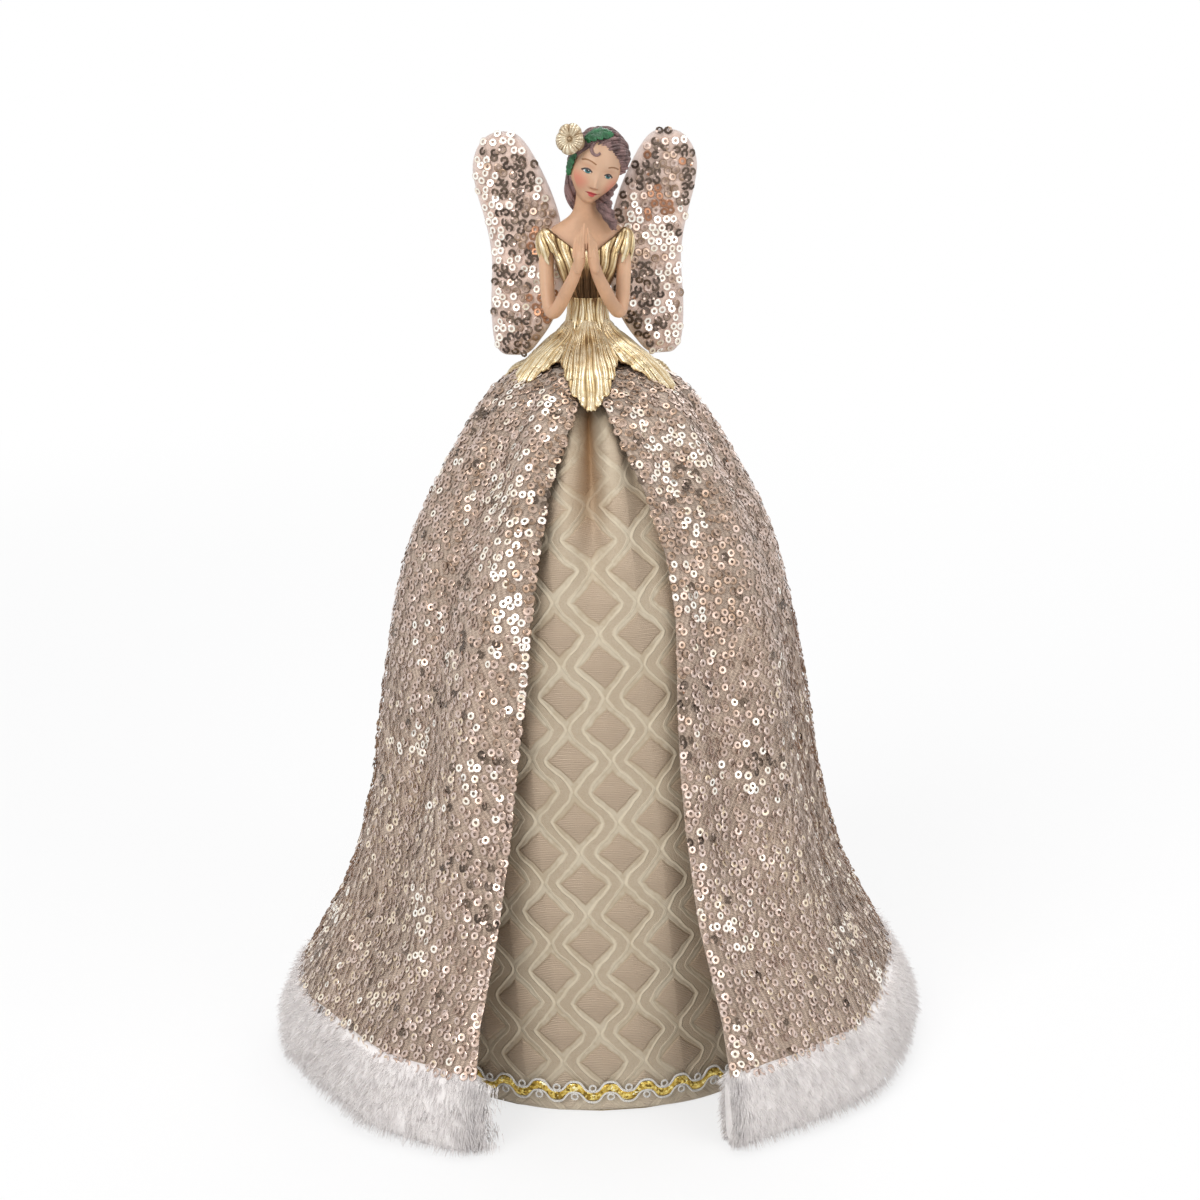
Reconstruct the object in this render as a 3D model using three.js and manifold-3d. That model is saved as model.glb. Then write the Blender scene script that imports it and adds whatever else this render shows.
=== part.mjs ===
// Fairy tree topper: a painted figure on a card cone, with a jacquard underskirt, a sequinned cape
// edged with plush, and two padded wings that bend at the figure's back.
// Millimetres, +Z up, the face looks along -Y. Left and right are the viewer's.
import * as THREE from 'three';
import { mergeVertices } from 'three/addons/utils/BufferGeometryUtils.js';
import Module from 'manifold-3d';

const wasm = await Module();
wasm.setup();

// Clearances
const GAP = 0.3;
const CLOTH_GAP = 0.6;
const CUT_OVERRUN = 4;

// Card cone, its base ring and the parts that carry the figure
const CONE_HEIGHT = 240;
const CONE_TOP_RADIUS = 12;
const CARD_WALL = 1;
const RING_WIDTH = 8.5;
const RING_HEIGHT = 2.5;
const PLUG_HEIGHT = 15;
const PEG_RADIUS = 3;
const PEG_BELOW_PLUG = 2;
const PEG_IN_BODICE = 10;

// Underskirt
const HEM_RADIUS = 78;
const SKIRT_CLOTH = 1;
const GATHER_RADIUS = 7.4;
const GATHER_TOP = 12;
const GATHER_FOOT = 5;
const GATHER_ROWS = 3;
const RIM_RISE = 3.4;
const RIM_OUT = 4;
const TUCK_DEPTH = 4.5;
const FLOOR_GAP = 0.3;

// Radius and height shares of the underskirt's bell below the gathers, from the waist to the hem
const BELL_SHARES = [
  [0.31, 1.003],
  [0.405, 0.981],
  [0.545, 0.921],
  [0.7, 0.825],
  [0.808, 0.72],
  [0.878, 0.5625],
  [0.925, 0.4],
  [0.96, 0.24],
  [1, 0],
];

// Front tuck and the soft ridges beside it: angles from the front in degrees, and shares of its depth
const TUCKS = [
  { angle: 1, width: 6, depthShare: -1 },
  { angle: -13, width: 8, depthShare: 0.28 },
  { angle: 15, width: 8, depthShare: 0.24 },
];
const TUCK_REACH_SHARES = { gone: 0.7, full: 0.95, neck: 1 };

// Braid on the underskirt's hem
const BRAID_MARGIN = 3;
const BRAID_HEIGHT = 8.3;
const BRAID_THICKNESS = 0.8;
const RIBBON_WIDTH = 3.3;
const RIBBON_SWAY = 1.1;
const RIBBON_WAVES = 39;
const CORD_RADIUS = 0.45;

// Cape, its hem and its plush trim
const CAPE_CLOTH = 1.2;
const CAPE_OPEN_ROWS = 3;
const CAPE_HEM_RADIUS = 110;
const CAPE_HEM_HEIGHT = 25;
const CAPE_FOLD_DEPTH = 3.2;
const FUR_THICKNESS = 8;
const FUR_FLARE = 4;
const HEM_WIRE_RADIUS = 0.6;
const HEM_WIRE_HEIGHT = 1.6;
const TIE_RADIUS = 0.7;

// Section of the plush band as shares of its thickness and height, going round, and how its ends draw in
const FUR_SECTION_SHARES = [
  [0, 0.06],
  [0.3, 0],
  [0.8, 0.02],
  [1, 0.2],
  [0.96, 0.52],
  [0.78, 0.82],
  [0.45, 1],
  [0.05, 0.95],
];
const FUR_END_SHARE = 0.7;

// Height shares of the cape's flare below the bell, and how much of the flare each has
const FLARE_SHARES = [
  [0.4, 0.12],
  [0.3, 0.27],
  [0.215, 0.5],
  [0.15, 0.78],
];

// Half-angle of the cape's front opening in degrees, at the waist and below, and where it is full
const OPENING_AT_WAIST = 9;
const OPENING_BELOW = 23.6;
const OPENING_FULL_SHARE = 0.68;

// Main folds of the cape: angles from the front in degrees at the waist and at the hem
const CAPE_FOLDS = [
  { waist: -24, hem: -46, width: 11, depthShare: 1 },
  { waist: -48, hem: -64, width: 8, depthShare: -1 },
  { waist: -72, hem: -82, width: 9, depthShare: 0.4 },
  { waist: -100, hem: -102, width: 9, depthShare: -0.8 },
  { waist: -122, hem: -122, width: 10, depthShare: 0.8 },
  { waist: -144, hem: -143, width: 9, depthShare: -0.9 },
  { waist: -166, hem: -165, width: 9, depthShare: 0.8 },
  { waist: 172, hem: 173, width: 9, depthShare: -0.8 },
  { waist: 150, hem: 152, width: 10, depthShare: 0.8 },
  { waist: 128, hem: 130, width: 9, depthShare: -0.9 },
  { waist: 106, hem: 108, width: 9, depthShare: 0.5 },
  { waist: 70, hem: 76, width: 8, depthShare: -0.8 },
  { waist: 50, hem: 56, width: 9, depthShare: 0.9 },
  { waist: 32, hem: 38, width: 7, depthShare: -0.6 },
];
const FOLD_AT_GATHER_SHARE = 0.25;
const FOLD_AT_HEM_SHARE = 0.35;

// Height shares between which the folds fade, above and below, and where the gathered neck begins
const FOLD_REACH_SHARES = { hem: 0.1, low: 0.45, high: 0.9, gather: 1, neck: 1.005 };

// Figure: waist, bodice, chest, neck and head
const PEPLUM_HEIGHT = 16;
const PEPLUM_FOOT_RADIUS = 10.4;
const PEPLUM_RISE = 4;
const WAIST_RADIUS = 6.3;
const BODICE_HEIGHT = 17;
const BUST_HALF_WIDTH = 10.2;
const BUST_HALF_DEPTH = 7.8;
const SHOULDER_HALF_WIDTH = 14;
const SHOULDER_HALF_DEPTH = 5.8;
const CHEST_HEIGHT = 9;
const NECK_RADIUS = 3.9;
const NECK_LENGTH = 10;
const HEAD_RISE = 27.9;
const HEAD_ASIDE = 4.2;
const HEAD_FORWARD = 4;
const HEAD_HALF_WIDTH = 8.4;
const HEAD_HALF_DEPTH = 9.6;
const HEAD_HALF_HEIGHT = 12.6;
const HEAD_ROLL = 18;
const HEAD_PITCH = 8;
const HEAD_YAW = 14;

// Up the peplum: share of its height, and share of the way from the waist out to its foot
const PEPLUM_SHARES = [
  [0, 1],
  [0.22, 0.45],
  [0.5, 0.08],
];

// Up the bodice: share of its height, then how far it has filled from the waist to the bust
const BODICE_SHARES = [
  [0, 0, 0],
  [0.25, 0.3, 0.4],
  [0.65, 0.85, 1],
  [1, 1, 0.8],
];

// Up the chest: share of its height, then shares of the shoulders' half-width and half-depth
const CHEST_SHARES = [
  [0, 0.94, 1],
  [0.35, 1, 1],
  [0.6, 0.84, 0.9],
  [0.82, 0.55, 0.78],
];
const NECK_FOOT_SHARE = 0.8;
const NECK_LEAN_SHARES = { aside: 0.7, forward: 0.25 };

// Up the head: rise, half-width, half-depth and forward shares, from the chin to the crown
const HEAD_SHARES = [
  [-1, 0.2, 0.18, 0.36],
  [-0.86, 0.52, 0.46, 0.28],
  [-0.6, 0.8, 0.72, 0.16],
  [-0.25, 0.98, 0.92, 0.04],
  [0.15, 1, 1, 0],
  [0.5, 0.92, 0.94, -0.02],
  [0.8, 0.66, 0.7, -0.04],
  [0.97, 0.28, 0.32, -0.04],
];

// Arms, hands and sleeves
const ARM_RADIUS = 2.6;
const WRIST_RADIUS = 1.75;
const SHOULDER_ASIDE = 13.2;
const ELBOW_ASIDE = 12.6;
const ELBOW_DROP = 22;
const ELBOW_FORWARD = 6;
const WRIST_ASIDE = 2.7;
const WRIST_DROP = 6.5;
const WRIST_FORWARD = 19;
const HAND_LENGTH = 15;
const HAND_WIDTH = 5.4;
const HAND_THICKNESS = 2.2;
const PALM_INSET = 1.4;
const ELBOW_SHARE = 0.92;
const SLEEVE_HALF_WIDTH = 5;
const SLEEVE_HALF_DEPTH = 6;
const SLEEVE_HALF_HEIGHT = 7;
const SLEEVE_LEAN = 12;

// Leaves of the peplum
const LEAF_THICKNESS = 1.4;
const LEAF_TIP_RADIUS = 36;
const LEAF_HALF_WIDTH = 9.6;
const LEAF_COLUMN_SHARES = [-1, -0.5, 0, 0.5, 1];
const LEAF_TOP_SHARE = 0.42;
const LEAF_START_SHARE = 0.3;
const LEAF_ROUND = [
  { name: 'front_leaf', angle: 0, reachShare: 1, widthShare: 1 },
  { name: 'right_leaf', angle: 62, reachShare: 0.94, widthShare: 0.84 },
  { name: 'right_back_leaf', angle: 121, reachShare: 1.04, widthShare: 0.84 },
  { name: 'back_leaf', angle: 180, reachShare: 0.92, widthShare: 0.84 },
  { name: 'left_back_leaf', angle: -121, reachShare: 1.04, widthShare: 0.84 },
  { name: 'left_leaf', angle: -62, reachShare: 0.94, widthShare: 0.84 },
];

// Along a peplum leaf: share of its reach, share of its drop, share of its half-width
const LEAF_SHARES = [
  [0, 0, 0.4],
  [0.08, 0.2, 0.52],
  [0.22, 0.37, 0.78],
  [0.36, 0.48, 0.8],
  [0.46, 0.53, 1],
  [0.54, 0.58, 0.78],
  [0.64, 0.65, 0.9],
  [0.72, 0.715, 0.62],
  [0.81, 0.8, 0.66],
  [0.9, 0.89, 0.42],
  [1, 1, 0.1],
];

// Hair and what is worn in it
const HAIR_THICKNESS = 1.8;
const HAIRLINE_RISE = 7.2;
const HAIR_FRONT = 1.4;
const NAPE_DROP = 7.8;
const FLOWER_RADIUS = 4.9;
const FLOWER_THICKNESS = 2;
const FLOWER_PETALS = 5;
const HAIR_LEAF_THICKNESS = 0.9;
const BIG_LEAF_WIDTH = 5.2;
const SMALL_LEAF_WIDTH = 3.2;
const HAIR_LEAF_SHARES = [0.12, 0.7, 0.55, 1, 0.72, 0.9, 0.5, 0.1];
const FLOWER_TURN = -24;
const FLOWER_TILT = -12;
const FLOWER_PETAL_SHARE = 0.14;
const FLOWER_STEPS = 6;

// Directions from the head's centre, in shares of its half-sizes, of the flower and the leaves' ends
const FLOWER_PLACE_SHARES = [-0.96, -0.5, 0.5];
const BIG_LEAF_SHARES = { from: [-0.5, -0.5, 0.72], to: [0.3, -0.36, 0.9] };
const SMALL_LEAF_SHARES = { from: [-1, -0.2, 0.05], to: [-0.85, -0.2, -0.5] };

// Routes of the two hanging locks beside the head, in shares of its half-sizes from its centre
const TAIL_RADIUS = 2.6;
const TAIL_ROUTE_SHARES = [
  [0.62, 0.35, -0.42],
  [0.82, 0.1, -0.74],
  [0.92, -0.05, -1.08],
  [0.94, -0.12, -1.42],
];
const NAPE_RADIUS = 2.5;
const NAPE_ROUTE_SHARES = [
  [-0.86, 0.5, 0.05],
  [-0.86, 0.5, -0.4],
  [-0.72, 0.55, -0.85],
  [-0.55, 0.55, -1.2],
];
const LOCK_RADIUS_SHARES = [0.8, 1, 0.9, 0.45];

// Wings
const WING_WIDTH = 36.6;
const WING_HEIGHT = 78.5;
const WING_FOOT_DROP = 6.5;
const WING_SWEEP = 15;
const WING_CROWN = 2.6;
const WING_SHOULDER = 8;
const WING_CLOTH = 0.6;
const SEAM_GAP = 0.3;
const WIRE_RADIUS = 0.5;
const WIRE_INSET = 2;
const LEG_BELOW_MOUNT = 9.42;
const LEG_ABOVE_MOUNT = 9.8125;
const SEAM_OPEN_BELOW = 15.7;
const SEAM_OPEN_ABOVE = 12.2;
const PAD_INSET = 3.4;
const HINGE_ASIDE = 4.2;
const HINGE_BACK = 11;
const MOUNT_HEIGHT = 8;
const MOUNT_MIDDLE_HEIGHT = 10.47;
const MOUNT_HALF_WIDTH = 6.2;
const MOUNT_WALL = 1.4;

// A wing from foot to tip: share of its height, then its inner and outer edges as shares of its width
const WING_SHARES = [
  [0, 0.56, 0.68],
  [0.013, 0.48, 0.755],
  [0.045, 0.42, 0.81],
  [0.09, 0.355, 0.84],
  [0.165, 0.24, 0.852],
  [0.25, 0.14, 0.854],
  [0.33, 0.118, 0.84],
  [0.43, 0.112, 0.83],
  [0.53, 0.116, 0.855],
  [0.62, 0.13, 0.905],
  [0.74, 0.22, 0.974],
  [0.835, 0.315, 1],
  [0.915, 0.41, 0.965],
  [0.96, 0.48, 0.9],
  [0.988, 0.56, 0.8],
  [1, 0.63, 0.735],
];
const WING_COLUMN_SHARES = [0, 0.08, 0.3, 0.7, 0.92, 1];
const MOUNT_FRONT_SHARE = 0.4;

// How finely round things are divided
const SKIRT_COLUMNS = 36;
const CAPE_COLUMNS = 41;
const ROUND_SIDES = 32;
const SMALL_SIDES = 12;
const ROUND_BANDS = 9;
const LIMB_SIDES = 8;
const CORD_SIDES = 4;
const WIRE_SIDES = 6;

// Colours from the photograph, with roughness and metalness
const FINISHES = {
  card: [0xb9a98c, 0.9, 0],
  wood: [0xc9a777, 0.8, 0],
  wadding: [0xf1eee6, 1, 0],
  jacquard: [0xcdbf9f, 0.55, 0.15],
  goldBraid: [0xc9a640, 0.4, 0.6],
  whiteCord: [0xf2efe8, 0.8, 0],
  sequinCloth: [0xc8a899, 0.35, 0.5],
  wingCloth: [0xddc3b7, 0.8, 0],
  plush: [0xfafafa, 1, 0],
  wire: [0x9a9a96, 0.4, 0.9],
  goldPaint: [0xcbb57c, 0.35, 0.7],
  skin: [0xd9a37e, 0.6, 0],
  hair: [0x4e3a3a, 0.7, 0],
  leafGreen: [0x1f7a48, 0.5, 0],
  petal: [0xe6d6ac, 0.45, 0.3],
};

// Shared helpers

const rad = THREE.MathUtils.degToRad;
const lerp = THREE.MathUtils.lerp;
const smooth = THREE.MathUtils.smoothstep;

// A point at an angle from the front, counted towards the viewer's right
function around(angle, radius, z) {
  return new THREE.Vector3(radius * Math.sin(rad(angle)), -radius * Math.cos(rad(angle)), z);
}

function at(x, y, z) {
  return new THREE.Vector3(x, y, z);
}

// A body from a list of triangle corners, turned so that its faces point out
function body(corners) {
  let volume = 0;
  for (let i = 0; i < corners.length; i += 3) {
    const normal = new THREE.Vector3().crossVectors(corners[i + 1], corners[i + 2]);
    volume += corners[i].dot(normal);
  }
  const order = volume > 0 ? [0, 1, 2] : [0, 2, 1];
  const positions = [];
  for (let i = 0; i < corners.length; i += 3) {
    for (const step of order) positions.push(...corners[i + step].toArray());
  }
  const geometry = new THREE.BufferGeometry();
  geometry.setAttribute('position', new THREE.Float32BufferAttribute(positions, 3));
  geometry.computeVertexNormals();
  return geometry;
}

// A closed wall between two sheets of points, given as rows of equal length
function wall(outer, inner, loops) {
  const corners = [];
  const quad = (a, b, c, d) => corners.push(a, b, c, a, c, d);
  const top = outer.length - 1;
  const columns = outer[0].length;
  const count = loops ? columns : columns - 1;
  for (let column = 0; column < count; column += 1) {
    const next = (column + 1) % columns;
    for (let row = 0; row < top; row += 1) {
      quad(outer[row][column], outer[row][next], outer[row + 1][next], outer[row + 1][column]);
      quad(inner[row][column], inner[row + 1][column], inner[row + 1][next], inner[row][next]);
    }
    quad(inner[0][column], inner[0][next], outer[0][next], outer[0][column]);
    quad(outer[top][column], outer[top][next], inner[top][next], inner[top][column]);
  }
  for (let row = 0; row < top && !loops; row += 1) {
    quad(inner[row][0], outer[row][0], outer[row + 1][0], inner[row + 1][0]);
    quad(outer[row][count], inner[row][count], inner[row + 1][count], outer[row + 1][count]);
  }
  return body(corners);
}

// A closed skin over rings of points, capped at both ends unless the rings close on themselves
function loft(rings, loops = false) {
  const corners = [];
  const sides = rings[0].length;
  const count = loops ? rings.length : rings.length - 1;
  for (let ring = 0; ring < count; ring += 1) {
    const here = rings[ring];
    const there = rings[(ring + 1) % rings.length];
    for (let side = 0; side < sides; side += 1) {
      const next = (side + 1) % sides;
      corners.push(here[side], here[next], there[next], here[side], there[next], there[side]);
    }
  }
  if (!loops) {
    cap(corners, rings[0], true);
    cap(corners, rings[rings.length - 1], false);
  }
  return body(corners);
}

function cap(corners, ring, first) {
  const middle = ring.reduce((sum, point) => sum.add(point), at(0, 0, 0)).divideScalar(ring.length);
  ring.forEach((point, side) => {
    const next = ring[(side + 1) % ring.length];
    if (first) corners.push(middle, next, point);
    else corners.push(middle, point, next);
  });
}

// An upright ellipse of points
function ellipse(centre, halfWidth, halfDepth, sides = SMALL_SIDES) {
  return Array.from({ length: sides }, (_, side) => {
    const turn = (side / sides) * 2 * Math.PI;
    return at(centre.x + halfWidth * Math.cos(turn), centre.y + halfDepth * Math.sin(turn), centre.z);
  });
}

function lathe(points, sides = ROUND_SIDES) {
  const profile = points.map(([radius, z]) => new THREE.Vector2(radius, z));
  const turned = new THREE.LatheGeometry(profile, sides).rotateX(rad(90)).toNonIndexed();
  const place = turned.attributes.position;
  const corners = [];
  for (let index = 0; index < place.count; index += 1) {
    corners.push(at(0, 0, 0).fromBufferAttribute(place, index));
  }
  return body(corners);
}

function torus(radius, tube, z) {
  return new THREE.TorusGeometry(radius, tube, CORD_SIDES, SKIRT_COLUMNS).translate(0, 0, z);
}

function ellipsoid(halfWidth, halfDepth, halfHeight) {
  const round = new THREE.SphereGeometry(1, SMALL_SIDES, ROUND_BANDS);
  return round.rotateX(rad(90)).scale(halfWidth, halfDepth, halfHeight);
}

// A tapered rod between two points
function rod(from, to, fromRadius, toRadius, sides = LIMB_SIDES) {
  const along = new THREE.Vector3().subVectors(to, from);
  const geometry = new THREE.CylinderGeometry(toRadius, fromRadius, along.length(), sides);
  const turn = new THREE.Quaternion().setFromUnitVectors(at(0, 1, 0), along.clone().normalize());
  const middle = new THREE.Vector3().addVectors(from, to).divideScalar(2);
  return geometry.applyQuaternion(turn).translate(middle.x, middle.y, middle.z);
}

function ball(centre, radius) {
  const geometry = new THREE.SphereGeometry(radius, LIMB_SIDES, LIMB_SIDES / 2);
  return geometry.rotateX(rad(90)).translate(centre.x, centre.y, centre.z);
}

function solid(geometry) {
  const bare = geometry.clone();
  bare.deleteAttribute('normal');
  bare.deleteAttribute('uv');
  const merged = mergeVertices(bare);
  const vertProperties = new Float32Array(merged.attributes.position.array);
  const triVerts = new Uint32Array(merged.index.array);
  return new wasm.Manifold(new wasm.Mesh({ numProp: 3, vertProperties, triVerts }));
}

function shape(manifold) {
  const mesh = manifold.getMesh();
  const geometry = new THREE.BufferGeometry();
  geometry.setAttribute('position', new THREE.Float32BufferAttribute(mesh.vertProperties, 3));
  geometry.setIndex(Array.from(mesh.triVerts));
  const loose = geometry.toNonIndexed();
  loose.computeVertexNormals();
  return loose;
}

function piece(name, geometry, finish) {
  const [color, roughness, metalness] = FINISHES[finish];
  const mesh = new THREE.Mesh(geometry, new THREE.MeshStandardMaterial({ color, roughness, metalness }));
  mesh.name = name;
  return mesh;
}

// Card cone and what stands in it

const CONE_BASE_RADIUS = HEM_RADIUS - SKIRT_CLOTH / 2 - CLOTH_GAP;

function coneRadiusAt(z) {
  return lerp(CONE_BASE_RADIUS, CONE_TOP_RADIUS, z / CONE_HEIGHT);
}

function treeCone() {
  return lathe([
    [CONE_BASE_RADIUS, 0],
    [CONE_TOP_RADIUS, CONE_HEIGHT],
    [CONE_TOP_RADIUS - CARD_WALL, CONE_HEIGHT],
    [CONE_BASE_RADIUS - CARD_WALL, 0],
    [CONE_BASE_RADIUS, 0],
  ]);
}

function baseRing() {
  const low = coneRadiusAt(0) - CARD_WALL - GAP;
  const high = coneRadiusAt(RING_HEIGHT) - CARD_WALL - GAP;
  const bore = low - RING_WIDTH;
  return lathe([[bore, 0], [low, 0], [high, RING_HEIGHT], [bore, RING_HEIGHT], [bore, 0]]);
}

function conePlug() {
  const foot = CONE_HEIGHT - PLUG_HEIGHT;
  const bore = PEG_RADIUS + GAP;
  const low = coneRadiusAt(foot) - CARD_WALL - GAP;
  const high = CONE_TOP_RADIUS - CARD_WALL - GAP;
  return lathe([[bore, foot], [low, foot], [high, CONE_HEIGHT], [bore, CONE_HEIGHT], [bore, foot]]);
}

const PEPLUM_FOOT = CONE_HEIGHT + GATHER_TOP + PEPLUM_RISE;
const SEAM_HEIGHT = PEPLUM_FOOT + PEPLUM_HEIGHT;

function figurePeg() {
  const foot = CONE_HEIGHT - PLUG_HEIGHT - PEG_BELOW_PLUG;
  return rod(at(0, 0, foot), at(0, 0, SEAM_HEIGHT + PEG_IN_BODICE), PEG_RADIUS, PEG_RADIUS, ROUND_SIDES);
}

// Underskirt, its filling and its braid

// Rows of the underskirt from the gathered top down to the hem, as radius and height
function skirtRows() {
  const gathers = [
    [GATHER_RADIUS, CONE_HEIGHT + GATHER_TOP],
    [GATHER_RADIUS, CONE_HEIGHT + GATHER_FOOT],
    [CONE_TOP_RADIUS + RIM_OUT, CONE_HEIGHT + RIM_RISE],
  ];
  const bell = BELL_SHARES.map(([radius, height]) => [
    radius * HEM_RADIUS,
    Math.max(height * CONE_HEIGHT, FLOOR_GAP),
  ]);
  return gathers.concat(bell);
}

// Each row again, with the direction that points away from the skirt there
function withNormals(rows) {
  return rows.map(([radius, z], index) => {
    const before = rows[Math.max(index - 1, 0)];
    const after = rows[Math.min(index + 1, rows.length - 1)];
    const slope = new THREE.Vector2(before[1] - after[1], after[0] - before[0]).normalize();
    return { radius, z, outward: slope };
  });
}

function skirtRadiusAt(z) {
  const rows = skirtRows();
  const index = rows.findIndex(([, height], row) => row >= GATHER_ROWS && height <= z);
  const [lowRadius, low] = rows[index];
  const [highRadius, high] = rows[index - 1];
  return lerp(lowRadius, highRadius, (z - low) / (high - low));
}

// How strongly the tuck shows at a height: none in the gathered neck, full below, gone further down
function tuckShare(z) {
  const share = z / CONE_HEIGHT;
  if (share > TUCK_REACH_SHARES.neck) return 0;
  return smooth(share, TUCK_REACH_SHARES.gone, TUCK_REACH_SHARES.full);
}

function ripple(angle, centre, width) {
  const away = THREE.MathUtils.euclideanModulo(angle - centre + 180, 360) - 180;
  return Math.exp(-((away / width) ** 2));
}

function tuck(angle, z) {
  const sum = TUCKS.reduce((total, each) => {
    return total + each.depthShare * ripple(angle, each.angle, each.width);
  }, 0);
  return sum * TUCK_DEPTH * tuckShare(z);
}

// A sheet of points round the axis, at a distance outside the given rows
function ringSheet(rows, distance, fold) {
  return rows.map((row) => Array.from({ length: SKIRT_COLUMNS }, (_, column) => {
    const angle = (column / SKIRT_COLUMNS) * 360;
    const away = distance + fold(angle, row.z);
    return around(angle, row.radius + row.outward.x * away, row.z + row.outward.y * away);
  }));
}

function underskirt() {
  const rows = withNormals(skirtRows());
  rows[rows.length - 1].outward = new THREE.Vector2(1, 0);
  rows[0].outward = new THREE.Vector2(1, 0);
  return wall(ringSheet(rows, SKIRT_CLOTH / 2, tuck), ringSheet(rows, -SKIRT_CLOTH / 2, tuck), true);
}

// The filling that rounds the skirt out: it fills the space between the cone and the underskirt
function skirtWadding() {
  const away = SKIRT_CLOTH / 2 + CLOTH_GAP + GAP;
  const outside = skirtRows().slice(GATHER_ROWS, -1).map(([radius, z]) => [
    radius - away - TUCK_DEPTH * tuckShare(z),
    z - away,
  ]);
  const foot = outside[outside.length - 1][1];
  const top = outside[0][1];
  const inside = [foot, top].map((z) => [coneRadiusAt(z) + GAP, z]);
  return lathe([...outside, ...inside, outside[0]]);
}

function braidRadius(z) {
  return skirtRadiusAt(z) + SKIRT_CLOTH / 2 + CLOTH_GAP;
}

function hemRibbon() {
  const middle = BRAID_MARGIN + BRAID_HEIGHT / 2;
  const columns = RIBBON_WAVES * 2;
  const sheet = (radius) => [-1, 1].map((edge) => Array.from({ length: columns }, (_, column) => {
    const sway = column % 2 === 0 ? RIBBON_SWAY : -RIBBON_SWAY;
    return around((column / columns) * 360, radius, middle + sway + (edge * RIBBON_WIDTH) / 2);
  }));
  const near = braidRadius(middle);
  return wall(sheet(near + BRAID_THICKNESS), sheet(near), true);
}

function hemCord(z) {
  return torus(braidRadius(z) + CORD_RADIUS, CORD_RADIUS, z);
}

// Cape, its hem wire and its plush trim

// Rows of the cape from the gathered neck to the hem, worked out from the underskirt below it
function capeRows() {
  const apart = SKIRT_CLOTH / 2 + CLOTH_GAP + CAPE_CLOTH / 2;
  const gathers = withNormals(skirtRows()).slice(0, -CAPE_OPEN_ROWS).map((row, index) => {
    const away = index < GATHER_ROWS - 1 ? apart : apart + CAPE_FOLD_DEPTH;
    const outward = index < 1 ? new THREE.Vector2(1, 0) : row.outward;
    return [row.radius + outward.x * away, row.z + outward.y * away];
  });
  const flareFoot = skirtRadiusAt(CAPE_HEM_HEIGHT) + apart + CAPE_FOLD_DEPTH;
  const flare = FLARE_SHARES.concat([[CAPE_HEM_HEIGHT / CONE_HEIGHT, 1]]).map(([height, share]) => {
    const z = height * CONE_HEIGHT;
    const resting = skirtRadiusAt(z) + apart + CAPE_FOLD_DEPTH;
    return [resting + share * (CAPE_HEM_RADIUS - flareFoot), z];
  });
  return withNormals(gathers.concat(flare));
}

function openingAt(z) {
  const share = smooth(z / CONE_HEIGHT, OPENING_FULL_SHARE, 1);
  return lerp(OPENING_BELOW, OPENING_AT_WAIST, share);
}

// How strongly the folds show at a height
function foldShare(z) {
  const share = z / CONE_HEIGHT;
  const reach = FOLD_REACH_SHARES;
  if (share > reach.neck) return 0;
  const high = lerp(1, FOLD_AT_GATHER_SHARE, smooth(share, reach.high, reach.gather));
  const low = lerp(FOLD_AT_HEM_SHARE, 1, smooth(share, reach.hem, reach.low));
  return Math.min(high, low);
}

function capeFold(angle, z) {
  const sum = CAPE_FOLDS.reduce((total, fold) => {
    const centre = lerp(fold.hem, fold.waist, z / CONE_HEIGHT);
    return total + fold.depthShare * ripple(angle, centre, fold.width);
  }, 0);
  return sum * CAPE_FOLD_DEPTH * foldShare(z);
}

// Angles of the cape's columns at a height, from one front edge round the back to the other
function capeAngles(z, columns = CAPE_COLUMNS) {
  const start = openingAt(z);
  return Array.from({ length: columns }, (_, column) => lerp(start, 360 - start, column / (columns - 1)));
}

function capeSheet(distance) {
  return capeRows().map((row) => capeAngles(row.z).map((angle) => {
    const away = distance + capeFold(angle, row.z);
    return around(angle, row.radius + row.outward.x * away, row.z + row.outward.y * away);
  }));
}

function cape() {
  return wall(capeSheet(CAPE_CLOTH / 2), capeSheet(-CAPE_CLOTH / 2), false);
}

// A round rod bent round the axis between the cape's front edges
function hemWire() {
  const rows = capeRows();
  const hem = rows[rows.length - 1];
  const away = CAPE_CLOTH / 2 + CLOTH_GAP + HEM_WIRE_RADIUS;
  const along = new THREE.Vector2(-hem.outward.y, hem.outward.x);
  const rings = capeAngles(hem.z).map((angle) => {
    const fold = capeFold(angle, hem.z) - away;
    const radius = hem.radius + hem.outward.x * fold + along.x * HEM_WIRE_HEIGHT;
    const z = hem.z + hem.outward.y * fold + along.y * HEM_WIRE_HEIGHT;
    return Array.from({ length: CORD_SIDES }, (_, side) => {
      const turn = (side / CORD_SIDES) * 2 * Math.PI;
      const out = HEM_WIRE_RADIUS * Math.cos(turn);
      return around(angle, radius + out, z + HEM_WIRE_RADIUS * Math.sin(turn));
    });
  });
  return loft(rings);
}

function furTrim() {
  const rows = capeRows();
  const hem = rows[rows.length - 1];
  const height = hem.z - CAPE_CLOTH - FLOOR_GAP;
  const angles = capeAngles(hem.z);
  const rings = angles.map((angle, index) => {
    const size = index === 0 || index === angles.length - 1 ? FUR_END_SHARE : 1;
    return FUR_SECTION_SHARES.map(([across, up]) => {
      const side = 0.5 + (across - 0.5) * size;
      const rise = 0.5 + (up - 0.5) * size;
      const lean = FUR_FLARE * (1 - rise);
      const radius = hem.radius + capeFold(angle, hem.z) - FUR_THICKNESS / 2 + lean;
      return around(angle, radius + side * FUR_THICKNESS, FLOOR_GAP + rise * height);
    });
  });
  return loft(rings);
}

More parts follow.
